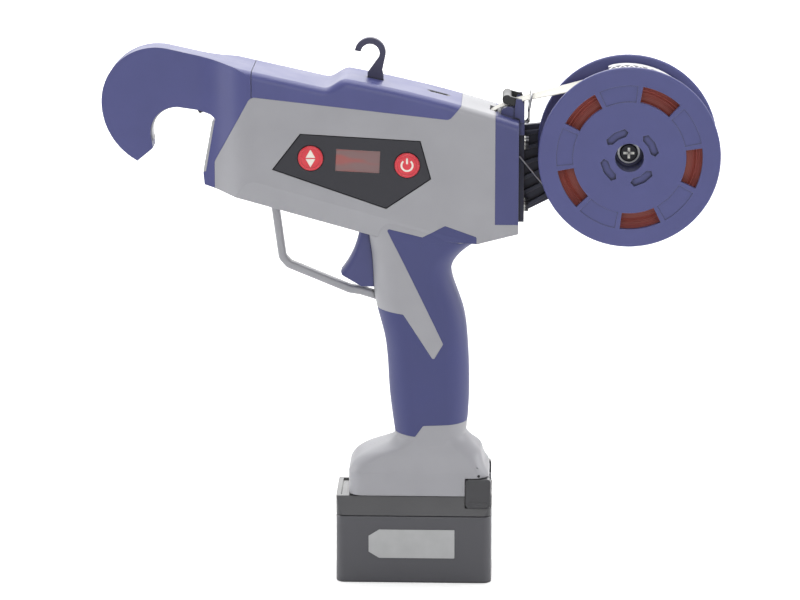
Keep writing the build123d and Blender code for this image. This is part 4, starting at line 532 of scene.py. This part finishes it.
# %% Blacked screws
SOCKET_REACH = 1.5 * MM
SOCKET_STARTS = 0.75
SOCKET_FULL = 0.5
blacked_steel = drawn_metal("blacked_screw_steel", "#3A3A3E", 0.40, stroke_mm=1.5, width_mm=0.6)
tree = blacked_steel.node_tree
blacking = tree.nodes["Principled BSDF"].inputs["Base Color"].links[0].from_socket
socket = add_node(tree, "ShaderNodeAmbientOcclusion", {"Distance": SOCKET_REACH}, samples=6)
bared = add_node(
    tree,
    "ShaderNodeMapRange",
    {"Value": socket.outputs["AO"], "From Min": SOCKET_STARTS, "From Max": SOCKET_FULL},
)
driven = add_node(
    tree,
    "ShaderNodeMixRGB",
    {"Fac": bared.outputs["Result"], "Color1": blacking, "Color2": linear("#E2E1DC")},
)
refine(blacked_steel, {"Base Color": driven.outputs["Color"]})
dress(blacked_steel, "axle_screw", "housing_screws", "head_screws", "arm_screws")

# %% [markdown]
# ## Control panel
#
# The panel is a black film bezel with a dull red window between two red push buttons. The film is
# satin, with hardly any grain. The window is tinted acrylic: where it catches the light it turns a
# dusty pink with a redder streak across it, so the streak is a noise stretched along the window.

# %% Panel and buttons
panel_film = moulded_plastic(
    "black_panel_film",
    "#25252D",
    0.34,
    grain_mm=0.8,
    grain_depth_mm=0.01,
    rub=0.1,
)
button_red = moulded_plastic(
    "red_button_acrylic",
    "#D42C3B",
    0.28,
    grain_mm=0.9,
    grain_depth_mm=0.015,
    rub=0.3,
)
refine(button_red, {"Coat Weight": 0.35})
dress(panel_film, "display_bezel")
dress(button_red, "mode_button", "power_button")

# %% Window
STREAK_LENGTH = 26.0 * MM
STREAK_WIDTH = 6.0 * MM
STREAK_TILT = radians(-14)
window_acrylic, tree, shader, place = start_finish("tinted_red_acrylic")
stretch = add_node(
    tree,
    "ShaderNodeMapping",
    {
        "Vector": place,
        "Rotation": (0, STREAK_TILT, 0),
        "Scale": (1 / STREAK_LENGTH, 1 / STREAK_LENGTH, 1 / STREAK_WIDTH),
    },
)
streak = add_node(
    tree,
    "ShaderNodeTexNoise",
    {"Vector": stretch.outputs["Vector"], "Scale": 1.0, "Detail": 1.0},
)
band = add_node(
    tree,
    "ShaderNodeMapRange",
    {"Value": streak.outputs["Fac"], "From Min": 0.42, "From Max": 0.62},
    interpolation_type="SMOOTHSTEP",
)
tint = add_node(
    tree,
    "ShaderNodeMixRGB",
    {"Fac": band.outputs["Result"], "Color1": linear("#7A5C5C"), "Color2": linear("#93504D")},
)
fill_inputs(
    tree,
    shader,
    {"Base Color": tint.outputs["Color"], "Roughness": 0.16, "Coat Weight": 0.4},
)
dress(window_acrylic, "display_window")

# %% [markdown]
# ## Hidden electrics
#
# The board, the cells and the feed roller sit inside the shells and hardly ever show. They could
# stay grey, but an opened tool should look right too. So the board is green like solder mask, the
# cells are blue like shrink film, and the roller is matt black rubber.

# %% Board, cells and roller
solder_mask = moulded_plastic(
    "green_solder_mask",
    "#1E5B38",
    0.35,
    grain_mm=2.5,
    grain_depth_mm=0.05,
    rub=0.2,
)
shrink_film = moulded_plastic(
    "blue_shrink_film",
    "#3C6FA8",
    0.25,
    grain_mm=3.0,
    grain_depth_mm=0.02,
    rub=0.2,
)
roller_rubber = moulded_plastic(
    "black_roller_rubber",
    "#242424",
    0.7,
    grain_mm=0.8,
    grain_depth_mm=0.08,
    rub=0.05,
)
dress(solder_mask, "control_board")
dress(shrink_film, "cells")
dress(roller_rubber, "feed_roller")

# %% [markdown]
# ## Label plate
#
# The battery carries a plain, pale grey plate with cut corners, let into its side. It is a satin
# sheet with a fine vertical brushing. The metal recipe gives that brushing, with strokes that are
# short along X and long across, and the sheet itself is lacquered, so it is not metallic.

# %% Lacquered sheet
label_sheet = drawn_metal("satin_label_sheet", "#B2B3B4", 0.45, stroke_mm=0.5, width_mm=4.0)
refine(label_sheet, {"Metallic": 0.0})
dress(label_sheet, "battery_label")

# %% [markdown]
# ## Helpers for modelling
#
# New pieces start from a primitive and are shaped in edit mode. Operators act on what is selected,
# so one helper makes a piece the only selection, one picks vertices by their place, and one closes
# a piece: its place goes into its mesh, and it gets its name, finish and body.

# %% Modelling helpers
DOUBLES_REACH = 0.002 * MM
SMOOTH_ANGLE = radians(35)


def only(piece):
    """Make a piece the active one and the only one selected."""
    bpy.ops.object.select_all(action="DESELECT")
    piece.select_set(True)
    bpy.context.view_layer.objects.active = piece


def pick(piece, test):
    """In edit mode, select the vertices whose place in the mesh passes a test."""
    bpy.ops.mesh.select_all(action="DESELECT")
    shape = bmesh.from_edit_mesh(piece.data)
    for vertex in shape.verts:
        vertex.select_set(test(vertex.co))
    shape.select_flush(True)
    bmesh.update_edit_mesh(piece.data)


def add_modifier(piece, kind, **settings):
    """Add a modifier with its settings and apply it."""
    modifier = piece.modifiers.new(kind.lower(), kind)
    for name, value in settings.items():
        setattr(modifier, name, value)
    only(piece)
    bpy.ops.object.modifier_apply(modifier=modifier.name)


def close_mesh(piece):
    """Merge doubled vertices and turn all faces outwards."""
    only(piece)
    bpy.ops.object.mode_set(mode="EDIT")
    bpy.ops.mesh.select_all(action="SELECT")
    bpy.ops.mesh.remove_doubles(threshold=DOUBLES_REACH)
    bpy.ops.mesh.normals_make_consistent(inside=False)
    bpy.ops.object.mode_set(mode="OBJECT")


def join_to(piece, other):
    """Join a second piece to a first."""
    only(piece)
    other.select_set(True)
    bpy.ops.object.join()


def settle(piece, name, material, body, slot, *replaced):
    """Put a piece's place into its mesh and give it its name, finish and body; slot is not used."""
    only(piece)
    bpy.ops.object.transform_apply(location=True, rotation=True, scale=True)
    bpy.ops.object.shade_smooth_by_angle(angle=SMOOTH_ANGLE)
    piece.name = name
    piece.data.name = name
    piece.data.materials.clear()
    piece.data.materials.append(material)
    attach(piece, body)
    if replaced:
        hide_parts(*replaced)
    print(name, "faces:", len(piece.data.polygons))


def middle(node):
    """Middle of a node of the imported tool."""
    low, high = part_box(node)
    return (low + high) / 2


# %% [markdown]
# ## Signs on the buttons
#
# One button carries two triangles, the other the common power sign: a ring with a gap and a bar.
# They are cream mouldings let into the caps. Text objects could draw them, but a three-sided
# cylinder is a triangle already, and a circle with its top removed, widened and thickened, is the
# ring. Each cap also has a raised rim, a ring made in the same way and half sunk in its face.

# %% Cream sign finish and helpers
SIGN_RISE = 0.06 * MM
SIGN_SINK = 0.5 * MM
SIGN_EDGE = 0.12 * MM
RING_VERTICES = 72
sign_depth = SIGN_SINK + SIGN_RISE
sign_cream = moulded_plastic(
    "cream_sign_moulding",
    "#EBE3D8",
    0.4,
    grain_mm=0.8,
    grain_depth_mm=0.01,
    rub=0.1,
)


def sign_plane(node):
    """Middle of a button's front face, pushed in so that a sign there is let into the cap."""
    spot = middle(node)
    spot.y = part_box(node)[0].y + (SIGN_SINK - SIGN_RISE) / 2
    return spot


def thicken_ring(spot, widen, depth):
    """In edit mode, give a circle of edges a width outwards and a depth towards the camera."""
    bpy.ops.mesh.select_all(action="SELECT")
    bpy.ops.mesh.extrude_region_move()
    bpy.ops.transform.resize(value=(widen, 1, widen), center_override=spot)
    bpy.ops.mesh.select_all(action="SELECT")
    bpy.ops.mesh.extrude_region_move(TRANSFORM_OT_translate={"value": (0, -depth, 0)})


# %% Up and down triangles
ARROW_RADIUS = 3.2 * MM
ARROW_GAP = 0.55 * MM
spot = sign_plane("mode_button")
arrows = []
for way in (1, -1):
    bpy.ops.mesh.primitive_cylinder_add(
        vertices=3,
        radius=ARROW_RADIUS,
        depth=sign_depth,
        location=spot + Vector((0, 0, way * (ARROW_GAP + ARROW_RADIUS) / 2)),
        rotation=(way * pi / 2, 0, 0),
    )
    arrows.append(bpy.context.active_object)
join_to(*arrows)
add_modifier(arrows[0], "BEVEL", width=SIGN_EDGE, segments=2)
settle(arrows[0], "arrow_sign", sign_cream, "mode_button", "paper")

# %% Power sign
RING_INNER = 2.5 * MM
RING_OUTER = 3.6 * MM
RING_GAP = radians(36)
BAR_WIDTH = 1.1 * MM
BAR_TOP = 4.1 * MM
BAR_FOOT = 0.7 * MM
spot = sign_plane("power_button")
bpy.ops.mesh.primitive_circle_add(
    vertices=RING_VERTICES,
    radius=RING_INNER,
    location=spot + Vector((0, sign_depth / 2, 0)),
    rotation=(pi / 2, 0, 0),
)
power_sign = bpy.context.active_object
bpy.ops.object.mode_set(mode="EDIT")
pick(power_sign, lambda co: abs(atan2(co.x, co.y)) < RING_GAP)
bpy.ops.mesh.delete(type="VERT")
thicken_ring(spot, RING_OUTER / RING_INNER, sign_depth)
bpy.ops.mesh.primitive_cube_add(
    size=1.0,
    location=spot + Vector((0, 0, (BAR_TOP + BAR_FOOT) / 2)),
    scale=(BAR_WIDTH, sign_depth, BAR_TOP - BAR_FOOT),
)
bpy.ops.object.mode_set(mode="OBJECT")
close_mesh(power_sign)
add_modifier(power_sign, "BEVEL", width=SIGN_EDGE, segments=2)
settle(power_sign, "power_sign", sign_cream, "power_button", "paper")

# %% Raised rims
RIM_INNER = 5.4 * MM
RIM_OUTER = 6.4 * MM
RIM_RISE = 0.3 * MM
RIM_EDGE = 0.27 * MM
spot = middle("mode_button")
spot.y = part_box("mode_button")[0].y + RIM_RISE
bpy.ops.mesh.primitive_circle_add(
    vertices=RING_VERTICES,
    radius=RIM_INNER,
    location=spot,
    rotation=(pi / 2, 0, 0),
)
mode_rim = bpy.context.active_object
bpy.ops.object.mode_set(mode="EDIT")
thicken_ring(spot, RIM_OUTER / RIM_INNER, 2 * RIM_RISE)
bpy.ops.object.mode_set(mode="OBJECT")
close_mesh(mode_rim)
add_modifier(mode_rim, "BEVEL", width=RIM_EDGE, segments=3)
bpy.ops.object.duplicate()
power_rim = bpy.context.active_object
power_rim.location += middle("power_button") - middle("mode_button")
settle(mode_rim, "mode_rim", button_red, "mode_button", "button_red")
settle(power_rim, "power_rim", button_red, "power_button", "button_red")

# %% [markdown]
# ## Tape roll
#
# The spool holds a roll of red-brown tape, seen edge-on through the flange windows. Edge-on, a
# roll is a stack of fine layers that never end quite level. A flat ring with stripes would do from
# afar. Here a rectangle of many columns has its columns pushed in and out, and its border is spun
# round the axle, so that the layers are real ridges.

# %% Size of the roll
HUB_RADIUS = 20.6 * MM
LAYERS = 24
axle = middle("tape_roll")
roll_low, roll_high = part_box("tape_roll")
roll_width = roll_high.y - roll_low.y
roll_radius = (roll_high.x - roll_low.x) / 2
roll_wall = roll_radius - HUB_RADIUS
layer_width = roll_wall / LAYERS
print("roll radius:", roll_radius, "layer:", layer_width)

# %% Wound tape finish
# Blender's ring wave repeats every tau / 20 of its scaled distance
WAVE_PERIOD = tau / 20
BLOTCH_SIZE = 9.0 * MM
wound_tape, tree, shader, place = start_finish("wound_tape_edge")
about_axle = add_node(tree, "ShaderNodeMapping", {"Vector": place, "Location": -axle})
layers = add_node(
    tree,
    "ShaderNodeTexWave",
    {
        "Vector": about_axle.outputs["Vector"],
        "Scale": WAVE_PERIOD / layer_width,
        "Distortion": 0.6,
        "Detail": 2.0,
    },
    wave_type="RINGS",
    rings_direction="Y",
)
blotch = add_node(tree, "ShaderNodeTexNoise", {"Vector": place, "Scale": 1 / BLOTCH_SIZE})
shade = add_node(
    tree,
    "ShaderNodeMixRGB",
    {"Fac": layers.outputs["Fac"], "Color1": linear("#7A352C"), "Color2": linear("#A54B3E")},
)
dusty = add_node(
    tree,
    "ShaderNodeMixRGB",
    {"Fac": blotch.outputs["Fac"], "Color1": shade.outputs["Color"], "Color2": linear("#8C4136")},
)
fill_inputs(tree, shader, {"Base Color": dusty.outputs["Color"], "Roughness": 0.55})

# %% Spin the roll
WALL_GAP = 0.2 * MM
SIDE_GAP = 1.6 * MM
RIDGES = (0.25 * MM, 0.7 * MM)
RIDGE_SWING = 0.4
RIDGE_STEP = 2.4
ROLL_STEPS = 120
column_span = roll_wall - WALL_GAP
bpy.ops.mesh.primitive_grid_add(
    x_subdivisions=LAYERS,
    y_subdivisions=1,
    size=1.0,
    location=axle + Vector(((roll_radius + HUB_RADIUS) / 2, 0, 0)),
)
tape_roll = bpy.context.active_object
tape_roll.scale = (column_span, roll_width - SIDE_GAP, 1)
bpy.ops.object.transform_apply(location=False, rotation=False, scale=True)
bpy.ops.object.mode_set(mode="EDIT")
for layer in range(LAYERS + 1):
    column = (layer / LAYERS - 0.5) * column_span
    ridge = RIDGES[layer % 2] * (1 - RIDGE_SWING + RIDGE_SWING * sin(RIDGE_STEP * layer))
    for flank in (-1, 1):
        pick(tape_roll, lambda co: abs(co.x - column) < layer_width / 4 and co.y * flank > 0)
        bpy.ops.transform.translate(value=(0, flank * ridge, 0))
bpy.ops.mesh.select_all(action="SELECT")
bpy.ops.mesh.region_to_loop()
bpy.ops.mesh.select_all(action="INVERT")
bpy.ops.mesh.delete(type="ONLY_FACE")
pick(tape_roll, lambda co: True)
bpy.ops.mesh.spin(steps=ROLL_STEPS, angle=tau, center=axle, axis=(0, 1, 0))
bpy.ops.object.mode_set(mode="OBJECT")
close_mesh(tape_roll)
settle(tape_roll, "wound_roll", wound_tape, "spool", "roll_tape", "tape_roll")

# %% [markdown]
# ## Tape on the roll
#
# The outermost turn of tape still lies on the roll, and a loose lap springs off it near the top.
# Both are thin film, so each is one row of vertices across the roll, spun part of the way round and
# then given a thickness. The lap's free end has rounded corners, made by drawing its first rows in.
# The film carries a printed zigzag between two rows of dark triangles. Its lines are worked out
# from the place on the film: the arc round the lap's centre gives the length, and Y the width.

# %% Sizes of turn and lap
FILM_THICKNESS = 0.4 * MM
TURN_GAP = 0.55 * MM
FILM_START = radians(103)
FILM_SWEEP = radians(163)
LAP_SHIFT = 2.0 * MM
LAP_BEARING = radians(120)
turn_radius = roll_radius + TURN_GAP
lap_radius = turn_radius + LAP_SHIFT
lap_centre = axle + LAP_SHIFT * Vector((cos(LAP_BEARING), 0, sin(LAP_BEARING)))
print("turn radius:", turn_radius, "lap radius:", lap_radius)

# %% Film recipe
FILM_PATCH = 7.0 * MM
FIBRE_SIZE = 0.9 * MM
FIBRE_DEPTH = 0.03 * MM


def film(name, hex_colour):
    """Pale matt tape film, uneven in tone; gives material, tree, shader, object place and tone."""
    material, tree, shader, place = start_finish(name)
    cloud = add_node(tree, "ShaderNodeTexNoise", {"Vector": place, "Scale": 1 / FILM_PATCH})
    tone = add_node(
        tree,
        "ShaderNodeMixRGB",
        {
            "Fac": cloud.outputs["Fac"],
            "Color1": linear(hex_colour, 0.93),
            "Color2": linear(hex_colour),
        },
    )
    fibre = add_node(tree, "ShaderNodeTexNoise", {"Vector": place, "Scale": 1 / FIBRE_SIZE})
    relief = add_node(
        tree,
        "ShaderNodeBump",
        {"Height": fibre.outputs["Fac"], "Strength": 0.4, "Distance": FIBRE_DEPTH},
    )
    fill_inputs(
        tree,
        shader,
        {
            "Base Color": tone.outputs["Color"],
            "Roughness": 0.5,
            "Normal": relief.outputs["Normal"],
        },
    )
    return material, tree, shader, place, tone.outputs["Color"]


# %% Printed film, and a darker copy of the film as painted shade
PRINT_PITCH = 4.9 * MM
PRINT_DEPTH = 8.0 * MM
PRINT_MIDDLE = 5.0 * MM
PRINT_LINE = 1.7 * MM
MATHS = "ShaderNodeMath"
# The free run of tape gets a darker copy of the same pale film: painted shade
shaded_tape_copy = film("shaded_copy_tape_film", "#C6C4BC")[0]
printed_film, tree, shader, place, tone = film("printed_tape_film", "#E2E1E3")
about_lap = add_node(tree, "ShaderNodeMapping", {"Vector": place, "Location": -lap_centre})
parts = add_node(tree, "ShaderNodeSeparateXYZ", {"Vector": about_lap.outputs["Vector"]}).outputs

# The zigzag swings from one side of the band to the other once in each pitch
turned = add_node(tree, MATHS, {0: parts["Z"], 1: parts["X"]}, operation="ARCTAN2").outputs[0]
pitches_per_radian = lap_radius / PRINT_PITCH
pitches = add_node(tree, MATHS, {0: turned, 1: pitches_per_radian}, operation="MULTIPLY").outputs[0]
swing = add_node(tree, MATHS, {0: pitches, 1: 0.5}, operation="PINGPONG").outputs[0]
evened = add_node(tree, MATHS, {0: swing, 1: 0.25}, operation="SUBTRACT").outputs[0]
zigzag = add_node(tree, MATHS, {0: evened, 1: 2 * PRINT_DEPTH}, operation="MULTIPLY").outputs[0]

# What lies in the band and off the zigzag's line is dark
across = add_node(tree, MATHS, {0: parts["Y"], 1: PRINT_MIDDLE}, operation="SUBTRACT").outputs[0]
beside = add_node(tree, MATHS, {0: across, 1: zigzag}, operation="SUBTRACT").outputs[0]
off_line = add_node(tree, MATHS, {0: beside}, operation="ABSOLUTE").outputs[0]
off_middle = add_node(tree, MATHS, {0: across}, operation="ABSOLUTE").outputs[0]
in_triangle = add_node(tree, MATHS, {0: off_line, 1: PRINT_LINE}, operation="GREATER_THAN").outputs[0]
in_band = add_node(tree, MATHS, {0: off_middle, 1: PRINT_DEPTH / 2}, operation="LESS_THAN").outputs[0]
inked = add_node(tree, MATHS, {0: in_triangle, 1: in_band}, operation="MULTIPLY").outputs[0]
printed = add_node(
    tree,
    "ShaderNodeMixRGB",
    {"Fac": inked, "Color1": tone, "Color2": linear("#4A4A55")},
)
fill_inputs(tree, shader, {"Base Color": printed.outputs["Color"]})
print("films:", shaded_tape_copy.name, printed_film.name)

# %% Spin the turn and the lap
FILM_STEPS = 64
ROW_REACH = radians(1.2)
# degrees from the lap's end, and the share of its width that is left there
END_ROWS = ((0.0, 0.80), (2.5, 0.93), (5.0, 0.98))


def spun_film(centre, radius):
    """Film as wide as the roll, clockwise from its start round a line across the tool."""
    bpy.ops.mesh.primitive_grid_add(
        x_subdivisions=1,
        y_subdivisions=8,
        size=1.0,
        location=centre + radius * Vector((cos(FILM_START), 0, sin(FILM_START))),
    )
    sheet = bpy.context.active_object
    sheet.scale = (MM, roll_width, 1)
    bpy.ops.object.transform_apply(location=False, rotation=False, scale=True)
    bpy.ops.object.mode_set(mode="EDIT")
    pick(sheet, lambda co: co.x > 0)
    bpy.ops.mesh.delete(type="VERT")
    bpy.ops.mesh.select_all(action="SELECT")
    bpy.ops.mesh.spin(steps=FILM_STEPS, angle=-FILM_SWEEP, center=centre, axis=(0, 1, 0))
    bpy.ops.object.mode_set(mode="OBJECT")
    bpy.ops.object.transform_apply(location=True, rotation=False, scale=False)
    return sheet


turn = spun_film(axle, turn_radius)
lap = spun_film(lap_centre, lap_radius + FILM_THICKNESS)
bpy.ops.object.mode_set(mode="EDIT")
for setback, share in END_ROWS:
    row = FILM_START - radians(setback)
    pick(lap, lambda co: abs(atan2(co.z - lap_centre.z, co.x - lap_centre.x) - row) < ROW_REACH)
    bpy.ops.transform.resize(value=(1, share, 1), center_override=lap_centre)
bpy.ops.object.mode_set(mode="OBJECT")
for sheet in (turn, lap):
    add_modifier(sheet, "SOLIDIFY", thickness=FILM_THICKNESS, offset=0.0)
join_to(lap, turn)
settle(lap, "loose_lap", printed_film, "frame", "paper", "roll_wrap")

# %% [markdown]
# ## Free run of tape
#
# From the roll the tape drops to the wire guide, narrows, passes under the presser and goes down
# into the channel. A curve with a flat profile could follow that line but keeps one width. So a
# grid gets one column of vertices for each station, each column is moved to its place and width,
# and a subdivision surface makes the run flow. The middle sags a little where the tape hangs free.

# %% Tape stations and run
# X and Z of the station in the side view, and half the tape's width there
TAPE_STATIONS = (
    (-103.4, 268.7, 5.0),
    (-60.0, 266.9, 5.0),
    (22.0, 263.5, 5.0),
    (35.5, 263.4, 5.0),
    (43.0, 267.4, 5.4),
    (51.0, 271.4, 6.0),
    (57.0, 273.0, 7.4),
    (62.7, 274.4, 8.8),
    (74.0, 277.0, 10.8),
    (88.0, 280.4, 13.2),
    (102.0, 283.9, 15.4),
    (108.2, 285.2, 16.0),
)
WIRE_STATION = 7
SAG = 0.5 * MM
SAG_HALF_WIDTH = 6.0 * MM
SAG_SHORT_OF_AXLE = 12.0 * MM
columns = len(TAPE_STATIONS) - 1
bpy.ops.mesh.primitive_grid_add(x_subdivisions=columns, y_subdivisions=6, size=1.0)
tape = bpy.context.active_object
bpy.ops.object.mode_set(mode="EDIT")
for step, (x, z, half_width) in enumerate(TAPE_STATIONS):
    column = step / columns - 0.5
    pick(tape, lambda co: abs(co.x - column) < 0.01 and co.z == 0)
    bpy.ops.transform.resize(value=(1, 2 * half_width * MM, 1), center_override=(0, 0, 0))
    bpy.ops.transform.translate(value=(x * MM - column, 0, z * MM))
sag_from = TAPE_STATIONS[WIRE_STATION][0] * MM
sag_to = axle.x - SAG_SHORT_OF_AXLE
pick(tape, lambda co: sag_from < co.x < sag_to and abs(co.y) < SAG_HALF_WIDTH)
bpy.ops.transform.translate(value=(0, 0, -SAG))
bpy.ops.object.mode_set(mode="OBJECT")
add_modifier(tape, "SUBSURF", levels=2, render_levels=2)
add_modifier(tape, "SOLIDIFY", thickness=FILM_THICKNESS, offset=0.0)
# The ribbon wears the darker copy of the tape film, as painted shade
settle(tape, "tape_ribbon", shaded_tape_copy, "frame", "paper", "tape_run")

# %% [markdown]
# ## Wire guide
#
# Behind the inlet stands a loop of round steel wire that keeps the tape in line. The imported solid
# is a flat-sided stand-in. Wire is drawn best as a line with a round section: a rectangle loses its
# face, its corners are rounded by a vertex bevel, and its edges turn into a curve with a bevel. The
# two legs are a second line, down from the loop and forward into the lug.

# %% Wire helpers
WIRE_RADIUS = 0.65 * MM
WIRE_CORNER = 2.6 * MM
loop_low, loop_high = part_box("guide_loop")
wire_x = loop_high.x - WIRE_RADIUS


def wire_frame(width, foot, top):
    """Upright rectangle of edges across the tool, left in edit mode."""
    bpy.ops.mesh.primitive_plane_add(
        size=1.0,
        location=(wire_x, 0, (foot + top) / 2),
        rotation=(0, pi / 2, 0),
    )
    wire = bpy.context.active_object
    wire.scale = (top - foot, width, 1)
    bpy.ops.object.transform_apply(location=True, rotation=True, scale=True)
    bpy.ops.object.mode_set(mode="EDIT")
    bpy.ops.mesh.delete(type="ONLY_FACE")
    return wire


def round_wire(wire):
    """Turn edges into round wire with bent corners."""
    bpy.ops.mesh.select_all(action="SELECT")
    bpy.ops.mesh.bevel(offset=WIRE_CORNER, segments=6, affect="VERTICES")
    bpy.ops.object.mode_set(mode="OBJECT")
    bpy.ops.object.convert(target="CURVE")
    wire.data.bevel_depth = WIRE_RADIUS
    wire.data.bevel_resolution = 3
    bpy.ops.object.convert(target="MESH")


# %% Bend the loop and its legs
LOOP_HEIGHT = 11.0 * MM
LOOP_LEAN = 1.6 * MM
LEG_HALF = 1.3 * MM
LEG_DEPTH = 3.2 * MM
LEG_LIFT = 1.5 * MM
loop_width = loop_high.y - loop_low.y - 2 * WIRE_RADIUS
loop_foot = loop_high.z - LOOP_HEIGHT
leg_foot = loop_low.z + LEG_LIFT
loop = wire_frame(loop_width, loop_foot + WIRE_RADIUS, loop_high.z - WIRE_RADIUS)
pick(loop, lambda co: co.z > loop_foot + LOOP_HEIGHT / 2)
bpy.ops.transform.translate(value=(LOOP_LEAN, 0, 0))
round_wire(loop)
legs = wire_frame(2 * LEG_HALF, leg_foot, loop_foot + WIRE_RADIUS)
pick(legs, lambda co: co.z < leg_foot + MM)
bpy.ops.mesh.extrude_region_move(TRANSFORM_OT_translate={"value": (-LEG_DEPTH, 0, 0)})
bpy.ops.mesh.delete(type="ONLY_FACE")
round_wire(legs)
join_to(loop, legs)
settle(loop, "guide_wire", ground_steel, "frame", "steel", "guide_loop")
